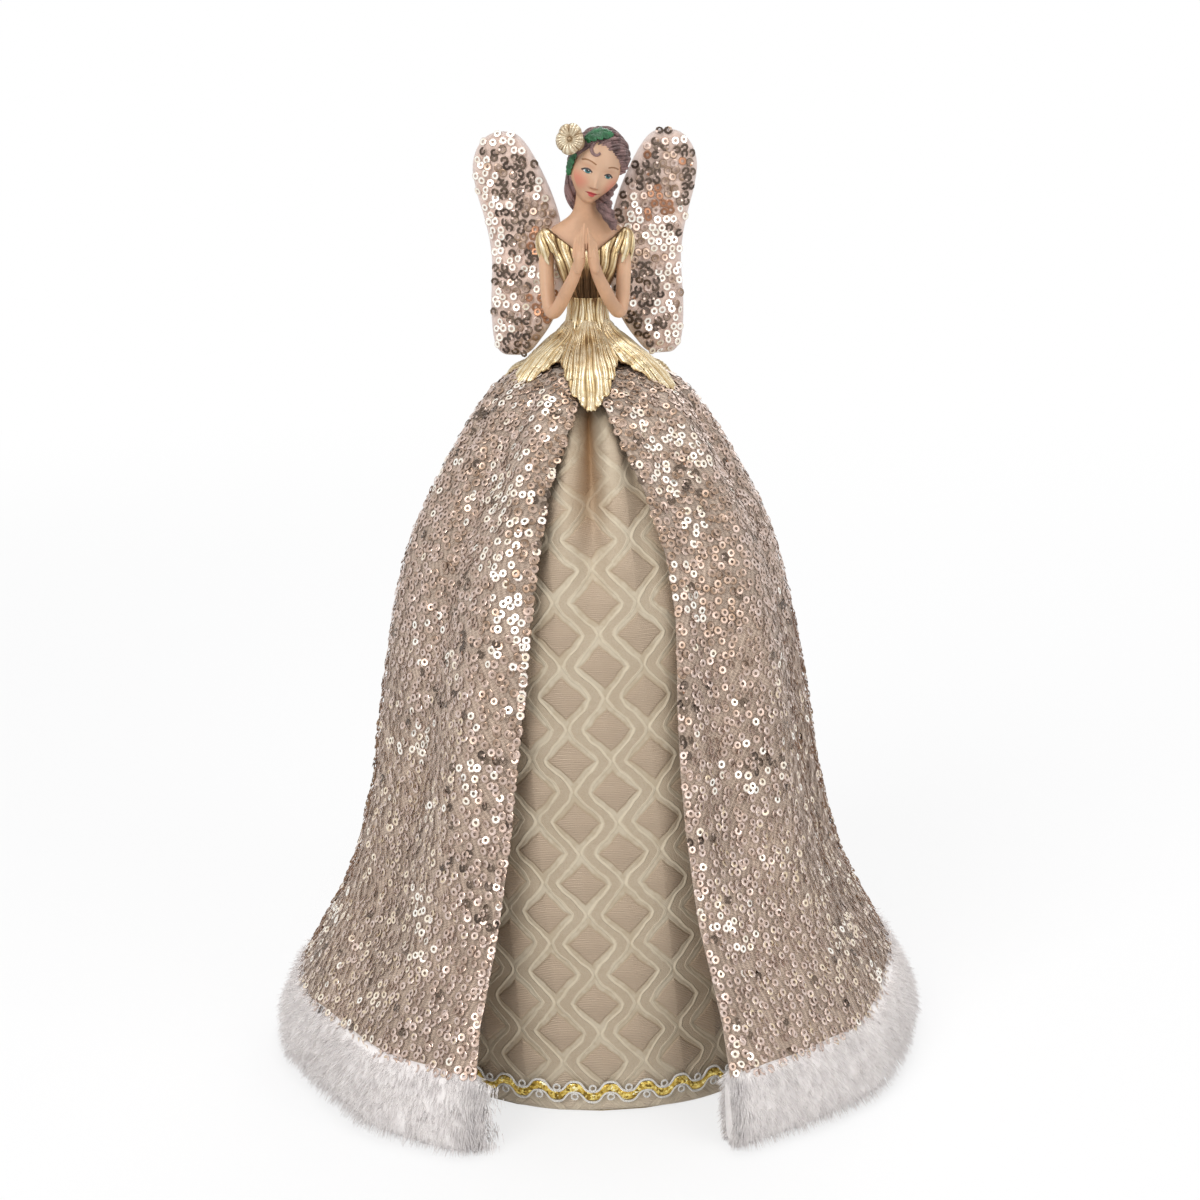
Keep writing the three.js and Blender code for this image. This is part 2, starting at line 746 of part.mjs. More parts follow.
function waistTie() {
  const neck = capeRows()[0].radius + CAPE_CLOTH / 2;
  const z = CONE_HEIGHT + (GATHER_TOP + GATHER_FOOT) / 2;
  return torus(neck + GAP + TIE_RADIUS, TIE_RADIUS, z);
}

// Figure: peplum, bodice, chest, head and arms

function peplum() {
  const bore = PEG_RADIUS + GAP;
  const top = SEAM_HEIGHT - GAP;
  const skirt = PEPLUM_SHARES.map(([rise, out]) => [
    lerp(WAIST_RADIUS, PEPLUM_FOOT_RADIUS, out),
    PEPLUM_FOOT + PEPLUM_HEIGHT * rise,
  ]);
  return lathe([[bore, PEPLUM_FOOT], ...skirt, [WAIST_RADIUS, top], [bore, top], [bore, PEPLUM_FOOT]]);
}

const NECKLINE = SEAM_HEIGHT + BODICE_HEIGHT;

function bodiceSkin(grow) {
  return loft(BODICE_SHARES.map(([rise, wide, deep]) => {
    const centre = at(0, 0, SEAM_HEIGHT + rise * (BODICE_HEIGHT - GAP));
    const halfWidth = lerp(WAIST_RADIUS, BUST_HALF_WIDTH, wide);
    const halfDepth = lerp(WAIST_RADIUS, BUST_HALF_DEPTH, deep);
    return ellipse(centre, halfWidth + grow, halfDepth + grow, SMALL_SIDES * 2);
  }));
}

function bodice() {
  const hole = rod(at(0, 0, SEAM_HEIGHT - CUT_OVERRUN), at(0, 0, SEAM_HEIGHT + PEG_IN_BODICE + GAP),
    PEG_RADIUS + GAP, PEG_RADIUS + GAP, ROUND_SIDES);
  return shape(solid(bodiceSkin(0)).subtract(solid(hole)));
}

function chestSkin(grow) {
  const shoulders = CHEST_SHARES.map(([rise, wide, deep], index) => {
    const lower = index === 0 ? grow : 0;
    const centre = at(0, 0, NECKLINE + rise * CHEST_HEIGHT - lower);
    return ellipse(centre, wide * SHOULDER_HALF_WIDTH + grow, deep * SHOULDER_HALF_DEPTH + grow);
  });
  const top = at(0, 0, NECKLINE + CHEST_HEIGHT);
  return loft([...shoulders, ellipse(top, NECK_RADIUS + grow, NECK_RADIUS + grow)]);
}

const HEAD_CENTRE = at(HEAD_ASIDE, -HEAD_FORWARD, NECKLINE + HEAD_RISE);
const HEAD_TURN = new THREE.Matrix4()
  .makeRotationY(rad(HEAD_ROLL))
  .multiply(new THREE.Matrix4().makeRotationZ(rad(HEAD_YAW)))
  .multiply(new THREE.Matrix4().makeRotationX(rad(HEAD_PITCH)));

// Moves a shape from the head's own frame, with the face along -Y, to its tilted place
function onHead(geometry) {
  return geometry.applyMatrix4(HEAD_TURN).translate(HEAD_CENTRE.x, HEAD_CENTRE.y, HEAD_CENTRE.z);
}

function headSkin(grow) {
  return onHead(loft(HEAD_SHARES.map(([rise, wide, deep, forward]) => {
    const centre = at(0, -forward * HEAD_HALF_DEPTH, rise * (HEAD_HALF_HEIGHT + grow));
    return ellipse(centre, wide * HEAD_HALF_WIDTH + grow, deep * HEAD_HALF_DEPTH + grow, SMALL_SIDES + 4);
  })));
}

function neckSkin(grow) {
  const { aside, forward } = NECK_LEAN_SHARES;
  const foot = at(0, 0, NECKLINE + CHEST_HEIGHT * NECK_FOOT_SHARE);
  const top = at(HEAD_ASIDE * aside, -HEAD_FORWARD * forward, foot.z + NECK_LENGTH);
  return rod(foot, top, NECK_RADIUS + grow, NECK_RADIUS + grow, SMALL_SIDES);
}

function headAndChest() {
  return shape(solid(chestSkin(0)).add(solid(neckSkin(0))).add(solid(headSkin(0))));
}

function armPoints(side) {
  const top = NECKLINE - GAP - ARM_RADIUS;
  const wristHeight = top + ARM_RADIUS - WRIST_DROP;
  return {
    shoulder: at(side * SHOULDER_ASIDE, 0, top),
    elbow: at(side * ELBOW_ASIDE, -ELBOW_FORWARD, top + ARM_RADIUS - ELBOW_DROP),
    wrist: at(side * WRIST_ASIDE, -WRIST_FORWARD, wristHeight),
    palm: at(side * (PALM_INSET + GAP), -WRIST_FORWARD - PALM_INSET, wristHeight + HAND_LENGTH / 2),
  };
}

function armSkin(side, grow) {
  const points = armPoints(side);
  const thick = ARM_RADIUS + grow;
  const bend = ARM_RADIUS * ELBOW_SHARE + grow;
  const slim = WRIST_RADIUS + grow;
  const hand = ellipsoid(HAND_THICKNESS / 2 + grow, HAND_WIDTH / 2 + grow, HAND_LENGTH / 2 + grow)
    .translate(points.palm.x, points.palm.y, points.palm.z);
  return solid(ball(points.shoulder, thick))
    .add(solid(rod(points.shoulder, points.elbow, thick, bend)))
    .add(solid(ball(points.elbow, bend)))
    .add(solid(rod(points.elbow, points.wrist, bend, slim)))
    .add(solid(ball(points.wrist, slim)))
    .add(solid(hand));
}

function arm(side) {
  return shape(armSkin(side, 0).subtract(solid(bodiceSkin(GAP))).subtract(solid(chestSkin(GAP))));
}

function sleeve(side) {
  const shoulder = armPoints(side).shoulder;
  const cover = ellipsoid(SLEEVE_HALF_WIDTH, SLEEVE_HALF_DEPTH, SLEEVE_HALF_HEIGHT)
    .rotateY(rad(side * SLEEVE_LEAN))
    .translate(shoulder.x, shoulder.y, shoulder.z);
  return shape(solid(cover)
    .subtract(armSkin(side, GAP))
    .subtract(solid(bodiceSkin(GAP)))
    .subtract(solid(chestSkin(GAP))));
}

// Leaves of the peplum

function peplumLeaf({ angle, reachShare, widthShare }) {
  const start = lerp(WAIST_RADIUS, PEPLUM_FOOT_RADIUS, LEAF_START_SHARE) + GAP + LEAF_THICKNESS / 2;
  const top = PEPLUM_FOOT + PEPLUM_HEIGHT * LEAF_TOP_SHARE;
  const end = start + (LEAF_TIP_RADIUS - start) * reachShare;
  const rows = withNormals(LEAF_SHARES.map(([reach, drop]) => {
    const radius = lerp(start, end, reach);
    const falling = lerp(top, leafRestHeight(end), drop);
    return [radius, Math.max(falling, leafRestHeight(radius))];
  }));
  const sheet = (distance) => rows.map((row, index) => LEAF_COLUMN_SHARES.map((across) => {
    const halfWidth = LEAF_SHARES[index][2] * widthShare * LEAF_HALF_WIDTH;
    const radius = row.radius + row.outward.x * distance;
    const swing = THREE.MathUtils.radToDeg((across * halfWidth) / Math.max(row.radius, PEPLUM_FOOT_RADIUS));
    return around(angle + swing, radius, row.z + row.outward.y * distance);
  }));
  return wall(sheet(LEAF_THICKNESS / 2), sheet(-LEAF_THICKNESS / 2), false);
}

// Height of a leaf's middle where it lies on the cape
function leafRestHeight(radius) {
  return capeClearHeight(radius) + LEAF_THICKNESS / 2 + CLOTH_GAP;
}

// Height of the cape's outer face, on the crest of a fold, at a radius near the waist
function capeClearHeight(radius) {
  const crests = capeRows().slice(GATHER_ROWS - 1).map((row) => {
    const away = CAPE_CLOTH / 2 + CAPE_FOLD_DEPTH * foldShare(row.z);
    return [row.radius + row.outward.x * away, row.z + row.outward.y * away];
  });
  const index = Math.max(crests.findIndex(([reach]) => reach >= radius), 1);
  const [near, nearHeight] = crests[index - 1];
  const [far, farHeight] = crests[index];
  const share = (Math.max(radius, near) - near) / (far - near);
  return lerp(nearHeight, farHeight, share);
}

// Hair and what is worn in it

function hairSkin(grow) {
  return onHead(ellipsoid(
    HEAD_HALF_WIDTH + HAIR_THICKNESS + grow,
    HEAD_HALF_DEPTH + HAIR_THICKNESS + grow,
    HEAD_HALF_HEIGHT + HAIR_THICKNESS + grow,
  ));
}

function faceOpening() {
  const wide = 2 * (HEAD_HALF_WIDTH + CUT_OVERRUN);
  const tall = HEAD_HALF_HEIGHT + HAIRLINE_RISE + CUT_OVERRUN;
  const deep = HEAD_HALF_DEPTH + CUT_OVERRUN;
  const box = new THREE.BoxGeometry(wide, deep, tall);
  return onHead(box.translate(0, -HAIR_FRONT - deep / 2, HAIRLINE_RISE - tall / 2));
}

function napeOpening() {
  const wide = 2 * (HEAD_HALF_WIDTH + CUT_OVERRUN);
  const tall = HEAD_HALF_HEIGHT;
  const box = new THREE.BoxGeometry(wide, wide * 2, tall);
  return onHead(box.translate(0, 0, -NAPE_DROP - tall / 2));
}

function hairCap() {
  return shape(solid(hairSkin(0))
    .subtract(solid(headSkin(GAP)))
    .subtract(solid(neckSkin(GAP)))
    .subtract(solid(faceOpening()))
    .subtract(solid(napeOpening())));
}

// A lock of hair along its route, thick in the middle and thin at its end
function lock(points, thickness) {
  const curve = new THREE.CatmullRomCurve3(points);
  const shares = LOCK_RADIUS_SHARES;
  const steps = points.length * 2;
  const rings = Array.from({ length: steps + 1 }, (_, step) => {
    const t = step / steps;
    const along = curve.getTangent(t);
    const centre = curve.getPoint(t);
    const low = Math.min(Math.floor(t * (shares.length - 1)), shares.length - 2);
    const radius = thickness * lerp(shares[low], shares[low + 1], t * (shares.length - 1) - low);
    const side = new THREE.Vector3().crossVectors(along, at(0, 1, 0)).normalize();
    const front = new THREE.Vector3().crossVectors(side, along).normalize();
    return Array.from({ length: LIMB_SIDES }, (__, corner) => {
      const turn = (corner / LIMB_SIDES) * 2 * Math.PI;
      return centre.clone()
        .addScaledVector(side, radius * Math.cos(turn))
        .addScaledVector(front, radius * Math.sin(turn));
    });
  });
  return loft(rings);
}

// Places beside the head, as shares of its half-width, half-depth and half-height
function besideHead(shares) {
  return shares.map(([x, y, z]) => at(
    HEAD_CENTRE.x + x * HEAD_HALF_WIDTH,
    HEAD_CENTRE.y + y * HEAD_HALF_DEPTH,
    HEAD_CENTRE.z + z * HEAD_HALF_HEIGHT,
  ));
}

function trimmedLock(routeShares, radius) {
  return shape(solid(lock(besideHead(routeShares), radius))
    .subtract(solid(headSkin(GAP)))
    .subtract(solid(hairSkin(GAP)))
    .subtract(solid(neckSkin(GAP)))
    .subtract(solid(chestSkin(GAP))));
}

function flower() {
  const outline = new THREE.Shape();
  const steps = FLOWER_PETALS * FLOWER_STEPS;
  for (let step = 0; step < steps; step += 1) {
    const turn = (step / steps) * 2 * Math.PI;
    const bulge = Math.sqrt(Math.abs(Math.sin((turn * FLOWER_PETALS) / 2)));
    const radius = FLOWER_RADIUS * (1 - FLOWER_PETAL_SHARE * (1 - bulge));
    const place = [radius * Math.cos(turn), radius * Math.sin(turn)];
    if (step === 0) outline.moveTo(...place);
    else outline.lineTo(...place);
  }
  outline.closePath();
  const options = { depth: FLOWER_THICKNESS, bevelEnabled: false };
  return new THREE.ExtrudeGeometry(outline, options).rotateX(rad(90));
}

// The flower sits against the hair at the viewer's left temple
function hairFlower() {
  const [x, y, z] = FLOWER_PLACE_SHARES;
  const placed = flower()
    .rotateZ(rad(FLOWER_TURN))
    .rotateX(rad(FLOWER_TILT))
    .translate(x * (HEAD_HALF_WIDTH + HAIR_THICKNESS), y * HEAD_HALF_DEPTH, z * HEAD_HALF_HEIGHT);
  return shape(solid(onHead(placed)).subtract(solid(hairSkin(GAP))));
}

// A leaf laid on the hair between two directions from the head's centre
function hairLeaf(place, halfWidth) {
  const from = at(...place.from);
  const to = at(...place.to);
  const last = HAIR_LEAF_SHARES.length - 1;
  const sheet = (lift) => HAIR_LEAF_SHARES.map((share, row) => [-1, 0, 1].map((across) => {
    const way = from.clone().lerp(to, row / last).normalize();
    const along = to.clone().sub(from).normalize();
    const aside = new THREE.Vector3().crossVectors(way, along).normalize();
    const turned = way.addScaledVector(aside, (across * share * halfWidth) / HEAD_HALF_DEPTH).normalize();
    return at(
      turned.x * (HEAD_HALF_WIDTH + HAIR_THICKNESS + lift),
      turned.y * (HEAD_HALF_DEPTH + HAIR_THICKNESS + lift),
      turned.z * (HEAD_HALF_HEIGHT + HAIR_THICKNESS + lift),
    );
  }));
  return onHead(wall(sheet(GAP + HAIR_LEAF_THICKNESS), sheet(GAP), false));
}

// Wings, in the frame of their hinge: +X outwards, before the sweep

const WING_FOOT = PEPLUM_FOOT - WING_FOOT_DROP;
const MOUNT_MIDDLE = SEAM_HEIGHT + MOUNT_MIDDLE_HEIGHT;

// Inner and outer edges of a wing at each of its rows, drawn in by an inset
function wingRows(inset) {
  const count = WING_SHARES.length - 1;
  return WING_SHARES.map(([rise, inner, outer], row) => {
    const z = WING_FOOT + lerp(inset, WING_HEIGHT - inset, rise);
    const end = row === 0 || row === count;
    const narrow = Math.min(inset, ((outer - inner) * WING_WIDTH) / 2 - (end ? GAP : inset / 2));
    return { z, inner: inner * WING_WIDTH + narrow, outer: outer * WING_WIDTH - narrow };
  });
}

// How far the seam stands open for the wire's two legs, at the root only
function seamHalf(z, across) {
  const atRoot = z > MOUNT_MIDDLE - SEAM_OPEN_BELOW && z < MOUNT_MIDDLE + SEAM_OPEN_ABOVE && across === 0;
  return atRoot ? WIRE_RADIUS + GAP + SEAM_GAP / 2 : SEAM_GAP / 2;
}

function wingHalfThickness(row, x) {
  const edge = Math.min(x - row.inner, row.outer - x);
  const ends = Math.min(row.z - WING_FOOT, WING_FOOT + WING_HEIGHT - row.z);
  const near = Math.min(Math.max(edge, 0), Math.max(ends, 0), WING_SHOULDER) / WING_SHOULDER;
  return WING_CROWN * Math.sqrt(1 - (1 - near) ** 2);
}

// One face of a wing: face is -1 for the front and 1 for the back, lift is off the inner surface
function wingSheet(side, face, lift) {
  return wingRows(0).map((row) => WING_COLUMN_SHARES.map((across) => {
    const x = lerp(row.inner, row.outer, across);
    const away = seamHalf(row.z, across) + wingHalfThickness(row, x) + lift;
    return at(side * x, face * away, row.z);
  }));
}

function wingCloth(side, face) {
  return wall(wingSheet(side, face, WING_CLOTH), wingSheet(side, face, 0), false);
}

function wingPad(side) {
  const full = wingRows(0);
  const sheet = (face) => wingRows(PAD_INSET).map((row, index) => WING_COLUMN_SHARES.map((across) => {
    const x = lerp(row.inner, row.outer, across);
    const thick = wingHalfThickness({ ...full[index], z: row.z }, x) - GAP * 2;
    return at(side * x, face * Math.max(thick, GAP), row.z);
  }));
  return wall(sheet(-1), sheet(1), false);
}

// Route of the frame wire: inside the wing's edge, with an upright run on the hinge line
function wireRoute(side) {
  const rows = wingRows(WIRE_INSET);
  const low = MOUNT_MIDDLE - LEG_BELOW_MOUNT;
  const high = MOUNT_MIDDLE + LEG_ABOVE_MOUNT;
  const outer = rows.map((row) => at(side * row.outer, 0, row.z));
  const inner = rows.filter((row) => row.z < low - WIRE_INSET || row.z > high + WIRE_INSET)
    .map((row) => at(side * row.inner, 0, row.z));
  const above = inner.filter((point) => point.z > high).reverse();
  const below = inner.filter((point) => point.z < low).reverse();
  const bend = WIRE_INSET;
  const root = [
    at(side * 2 * bend, 0, high),
    at(0, 0, high - bend),
    at(0, 0, low + bend),
    at(side * 2 * bend, 0, low),
  ];
  return [...outer, ...above, ...root, ...below];
}

// A round wire along a closed route that lies in the plane of the wing
function wingWire(side) {
  const route = wireRoute(side);
  const count = route.length;
  const rings = route.map((point, index) => {
    const before = route[(index + count - 1) % count];
    const after = route[(index + 1) % count];
    const along = new THREE.Vector3().subVectors(after, before).normalize();
    const inward = new THREE.Vector3().crossVectors(along, at(0, 1, 0));
    return Array.from({ length: WIRE_SIDES }, (_, corner) => {
      const turn = (corner / WIRE_SIDES) * 2 * Math.PI;
      return point.clone()
        .addScaledVector(inward, WIRE_RADIUS * Math.cos(turn))
        .add(at(0, WIRE_RADIUS * Math.sin(turn), 0));
    });
  });
  return loft(rings, true);
}

// The block on the figure's back whose two upright channels hold the wires
function wingMount() {
  const front = BUST_HALF_DEPTH * MOUNT_FRONT_SHARE;
  const back = HINGE_BACK + WIRE_RADIUS + GAP + MOUNT_WALL / 2;
  const block = new THREE.BoxGeometry(2 * MOUNT_HALF_WIDTH, back - front, MOUNT_HEIGHT)
    .translate(0, (front + back) / 2, MOUNT_MIDDLE);
  const reach = MOUNT_HEIGHT / 2 + CUT_OVERRUN;
  const channel = (side) => solid(rod(
    at(side * HINGE_ASIDE, HINGE_BACK, MOUNT_MIDDLE - reach),
    at(side * HINGE_ASIDE, HINGE_BACK, MOUNT_MIDDLE + reach),
    WIRE_RADIUS + GAP,
    WIRE_RADIUS + GAP,
    SMALL_SIDES,
  ));
  return shape(solid(block)
    .subtract(channel(-1))
    .subtract(channel(1))
    .subtract(solid(bodiceSkin(GAP))));
}

function wing(side, name) {
  const group = new THREE.Group();
  group.add(
    piece(`${name}_front_cloth`, wingCloth(side, -1), 'sequinCloth'),
    piece(`${name}_back_cloth`, wingCloth(side, 1), 'wingCloth'),
    piece(`${name}_pad`, wingPad(side), 'wadding'),
    piece(`${name}_wire`, wingWire(side), 'wire'),
  );
  group.position.set(side * HINGE_ASIDE, HINGE_BACK, 0);
  group.rotation.z = rad(side * WING_SWEEP);
  return group;
}

// The whole topper

function stand() {
  const group = new THREE.Group();
  group.add(
    piece('tree_cone', treeCone(), 'card'),
    piece('base_ring', baseRing(), 'card'),
    piece('cone_plug', conePlug(), 'wood'),
    piece('figure_peg', figurePeg(), 'wood'),
  );
  return group;
}

function clothes() {
  const group = new THREE.Group();
  const lowCord = BRAID_MARGIN + CORD_RADIUS;
  const highCord = BRAID_MARGIN + BRAID_HEIGHT - CORD_RADIUS;
  group.add(
    piece('skirt_wadding', skirtWadding(), 'wadding'),
    piece('underskirt', underskirt(), 'jacquard'),
    piece('hem_ribbon', hemRibbon(), 'goldBraid'),
    piece('hem_cord_low', hemCord(lowCord), 'whiteCord'),
    piece('hem_cord_high', hemCord(highCord), 'whiteCord'),
    piece('cape', cape(), 'sequinCloth'),
    piece('cape_hem_wire', hemWire(), 'wire'),
    piece('fur_trim', furTrim(), 'plush'),
    piece('waist_tie', waistTie(), 'whiteCord'),
  );
  return group;
}

function figure() {
  const group = new THREE.Group();
  group.add(
    piece('peplum', peplum(), 'goldPaint'),
    piece('bodice', bodice(), 'goldPaint'),
    piece('head_and_chest', headAndChest(), 'skin'),
    piece('left_arm', arm(-1), 'skin'),
    piece('right_arm', arm(1), 'skin'),
    piece('left_sleeve', sleeve(-1), 'goldPaint'),
    piece('right_sleeve', sleeve(1), 'goldPaint'),
    piece('hair_cap', hairCap(), 'hair'),
    piece('hair_tail', trimmedLock(TAIL_ROUTE_SHARES, TAIL_RADIUS), 'hair'),
    piece('hair_nape', trimmedLock(NAPE_ROUTE_SHARES, NAPE_RADIUS), 'hair'),
    piece('hair_flower', hairFlower(), 'petal'),
    piece('big_hair_leaf', hairLeaf(BIG_LEAF_SHARES, BIG_LEAF_WIDTH / 2), 'leafGreen'),
    piece('small_hair_leaf', hairLeaf(SMALL_LEAF_SHARES, SMALL_LEAF_WIDTH / 2), 'leafGreen'),
    piece('wing_mount', wingMount(), 'goldPaint'),
  );
  for (const leaf of LEAF_ROUND) {
    group.add(piece(leaf.name, peplumLeaf(leaf), 'goldPaint'));
  }
  return group;
}

const topper = new THREE.Group();
topper.add(stand(), clothes(), figure(), wing(-1, 'left_wing'), wing(1, 'right_wing'));

// The origin is the middle of the footprint, which the open front of the trim moves off the cone's axis
const footprint = new THREE.Box3().setFromObject(topper.getObjectByName('fur_trim'));
topper.position.y = -footprint.getCenter(at(0, 0, 0)).y;

export default topper;
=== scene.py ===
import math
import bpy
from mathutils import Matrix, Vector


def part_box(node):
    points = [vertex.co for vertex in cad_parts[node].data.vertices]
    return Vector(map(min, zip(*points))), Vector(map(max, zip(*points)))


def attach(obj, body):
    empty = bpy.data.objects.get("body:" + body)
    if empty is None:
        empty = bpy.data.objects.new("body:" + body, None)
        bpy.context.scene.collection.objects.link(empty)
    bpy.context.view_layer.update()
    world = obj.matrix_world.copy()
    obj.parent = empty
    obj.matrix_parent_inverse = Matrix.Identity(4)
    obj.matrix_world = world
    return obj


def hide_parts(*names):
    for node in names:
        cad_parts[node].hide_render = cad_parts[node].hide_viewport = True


bl_info = {
    "name": "Fairy Tree Topper",
    "version": (1, 0, 0),
    "blender": (4, 5, 0),
    "location": "View3D > Sidebar > Topper",
    "description": "Dresses the packed fairy tree topper: cloth, sequins, plush, painted figure and wings",
    "category": "Object",
}

import bmesh
import bpy
import numpy as np
from mathutils import Matrix, Vector

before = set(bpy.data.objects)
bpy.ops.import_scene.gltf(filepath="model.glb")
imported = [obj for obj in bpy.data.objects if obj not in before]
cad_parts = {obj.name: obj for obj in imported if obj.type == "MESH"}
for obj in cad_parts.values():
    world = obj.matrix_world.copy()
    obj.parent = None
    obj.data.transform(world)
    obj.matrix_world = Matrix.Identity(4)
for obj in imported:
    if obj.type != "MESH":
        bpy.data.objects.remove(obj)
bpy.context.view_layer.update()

MM = 0.001
CONE_LOW, CONE_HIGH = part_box("tree_cone")
AXIS_Y = (CONE_LOW.y + CONE_HIGH.y) / 2
# Height of the waist in millimetres, by which folds and tucks are spread
WAIST = 240

# Profile of the underskirt in millimetres, radius and height, from the hem to the gathered waist
SKIRT_PROFILE = [
    (70.5, 5.0), (72.0, 2.2), (75.5, 0.9), (77.9, 0.8), (78.0, 3.0), (77.3, 24.0), (75.2, 57.6), (72.0, 96.0),
    (68.4, 134.4), (63.0, 172.8), (54.6, 198.0), (42.6, 221.0), (31.6, 235.4), (24.2, 240.7), (15.5, 243.4),
    (8.4, 244.6), (7.4, 247.0), (7.4, 251.8),
]

# Profile of the cape from its hem to the gathered waist
CAPE_PROFILE = [
    (111.5, 22.0), (108.2, 28.0), (102.0, 39.5), (93.8, 54.5), (87.6, 70.5), (83.2, 86.5), (79.6, 101.5),
    (77.4, 117.5), (75.2, 132.5), (72.6, 147.5), (70.0, 162.5), (66.6, 177.5), (61.6, 192.5), (54.0, 207.5),
    (45.6, 222.5), (36.5, 236.6), (28.0, 244.0), (21.0, 248.2), (14.0, 250.4), (10.5, 251.2), (9.1, 252.0),
]

# Angles in degrees from the front at which the cape's two front edges lie, by height
LEFT_EDGE = [(22, 22.4), (40, 23.6), (55, 23.4), (79, 22.3), (108, 21.0), (137, 19.3), (165, 18.2), (192, 17.2),
             (216, 16.0), (236, 9.0), (252, 6.0)]
RIGHT_EDGE = [(22, 22.8), (40, 23.7), (55, 23.7), (70, 22.9), (96, 22.6), (122, 22.2), (143, 22.8), (171, 24.6),
              (192, 24.2), (212, 21.0), (229, 14.6), (240, 8.0), (252, 6.0)]

# Main folds of the cape: angle at the waist, angle at the hem, width in degrees, height in millimetres
CAPE_FOLDS = [
    (-22, -44, 9, 4.0), (-44, -60, 7, -3.4), (-70, -80, 8, 2.4), (-100, -102, 9, -2.8), (-122, -122, 10, 3.2),
    (-144, -143, 9, -3.0), (-166, -165, 9, 3.2), (172, 173, 9, -2.8), (150, 152, 10, 3.2), (128, 130, 9, -3.0),
    (106, 108, 9, 2.6), (72, 78, 8, -3.0), (50, 56, 9, 3.6), (31, 37, 6, -2.2),
]

# Patches of the cape whose rings carry a painted highlight: angle and height, then reach in degrees and in millimetres
CAPE_GLINTS = [
    (-54, 242, 6, 5), (-25, 241, 5, 5), (-17, 231, 4, 4), (-33, 211, 12, 15), (-26, 192, 7, 9), (-22, 176, 3, 13),
    (-20, 155, 3, 10), (-54, 122, 5, 5), (-41, 155, 3, 5), (-44, 105, 4, 7), (-30, 122, 4, 6), (-42, 73, 4, 5),
    (-79, 50, 6, 9), (-41, 55, 4, 5), (-80, 150, 5, 6), (26, 234, 4, 9), (44, 227, 9, 6), (47, 219, 6, 4),
    (30, 217, 4, 7), (18, 221, 3, 3), (19, 207, 3, 5), (36, 201, 4, 5), (30, 177, 4, 9), (43, 112, 4, 6),
    (31, 115, 3, 4), (26, 70, 4, 5), (32, 61, 3, 4), (25, 31, 3, 4), (63, 51, 5, 5), (70, 33, 5, 4),
]

# Patches whose rings carry painted shade, in the same way
CAPE_SHADES = [
    (-68, 233, 7, 6), (-17, 209, 3, 3), (18, 218, 3, 3), (40, 213, 5, 3), (25, 145, 3, 4), (23, 129, 3, 3),
    (46, 117, 5, 5), (23, 99, 3, 3), (78, 164, 3, 3), (66, 46, 4, 3), (-76, 104, 3, 3), (-23, 73, 3, 5),
    (-46, 145, 5, 5), (-37, 164, 4, 4), (-42, 183, 4, 4),
]

# Tucks at the underskirt's front: angle, width in degrees, height in millimetres
SKIRT_TUCKS = [(0, 4.5, -5.5), (-9, 5, 1.8), (10, 5, 2.0), (-18, 4, -1.2), (19, 4, -1.2)]

# The head's middle in millimetres, and its tilt
HEAD_PLACE = np.array([3.77, -4.0, 317.04])
HEAD_TURN = (Matrix.Rotation(math.radians(16.9), 3, "Y") @ Matrix.Rotation(math.radians(8.4), 3, "Z")
             @ Matrix.Rotation(math.radians(8.0), 3, "X"))


def mix(low, high, share):
    return low + (high - low) * share


def smoothstep(value, low, high):
    share = np.clip((value - low) / (high - low), 0, 1)
    return share * share * (3 - 2 * share)


def signed(angle):
    """Angles in degrees brought between -180 and 180."""
    return (angle + 180) % 360 - 180


def ripple(angle, centre, width):
    return np.exp(-((signed(angle - centre) / width) ** 2))


def unit(vectors):
    return vectors / np.linalg.norm(vectors, axis=-1, keepdims=True)


def turned_towards(normal, way):
    """Normals, with those reversed that point away from the way given for each."""
    return normal * np.sign(np.sum(normal * way, axis=1, keepdims=True))


def smooth_path(points, count):
    """Even steps by length along a smooth curve through the points."""
    points = np.asarray(points, float)
    padded = np.vstack([2 * points[0] - points[1], points, 2 * points[-1] - points[-2]])
    t = np.linspace(0, 1, 24, endpoint=False)[:, None]
    fine = []
    for index in range(len(points) - 1):
        a, b, c, d = padded[index : index + 4]
        fine.append(0.5 * (2 * b + (c - a) * t + (2 * a - 5 * b + 4 * c - d) * t**2 + (3 * b - a - 3 * c + d) * t**3))
    fine = np.vstack(fine + [points[-1:]])
    length = np.concatenate([[0], np.cumsum(np.linalg.norm(np.diff(fine, axis=0), axis=1))])
    steps = np.linspace(0, length[-1], count)
    return np.column_stack([np.interp(steps, length, fine[:, axis]) for axis in range(points.shape[1])])


def path_length(points):
    return float(np.linalg.norm(np.diff(points, axis=0), axis=1).sum())


def along(path, share):
    """Points of an evenly stepped path at shares of its length."""
    steps = np.linspace(0, 1, len(path))
    return [np.interp(share, steps, path[:, axis]) for axis in range(path.shape[1])]


def ring(angle, radius, z):
    """Points at an angle in degrees from the front, counted towards the viewer's right."""
    turn = np.radians(angle)
    return np.stack([radius * np.sin(turn), -radius * np.cos(turn), z + 0 * turn], axis=-1)


def turn_matrix(degrees, axis):
    return np.array(Matrix.Rotation(math.radians(degrees), 3, axis))


def place_mm(points):
    return np.asarray(points, float) * MM + np.array([0, AXIS_Y, 0])


def normals_of(surface, u, v, step=0.0015):
    across = surface(u + step, v) - surface(u - step, v)
    up = surface(u, v + step) - surface(u, v - step)
    normal = np.cross(across, up)
    return normal / np.maximum(np.linalg.norm(normal, axis=-1, keepdims=True), 1e-9)


def new_object(name, data):
    made = bpy.data.objects.new(name, data)
    bpy.context.scene.collection.objects.link(made)
    return made


def mesh_from(bm, name):
    mesh = bpy.data.meshes.new(name)
    bm.to_mesh(mesh)
    bm.free()
    return mesh


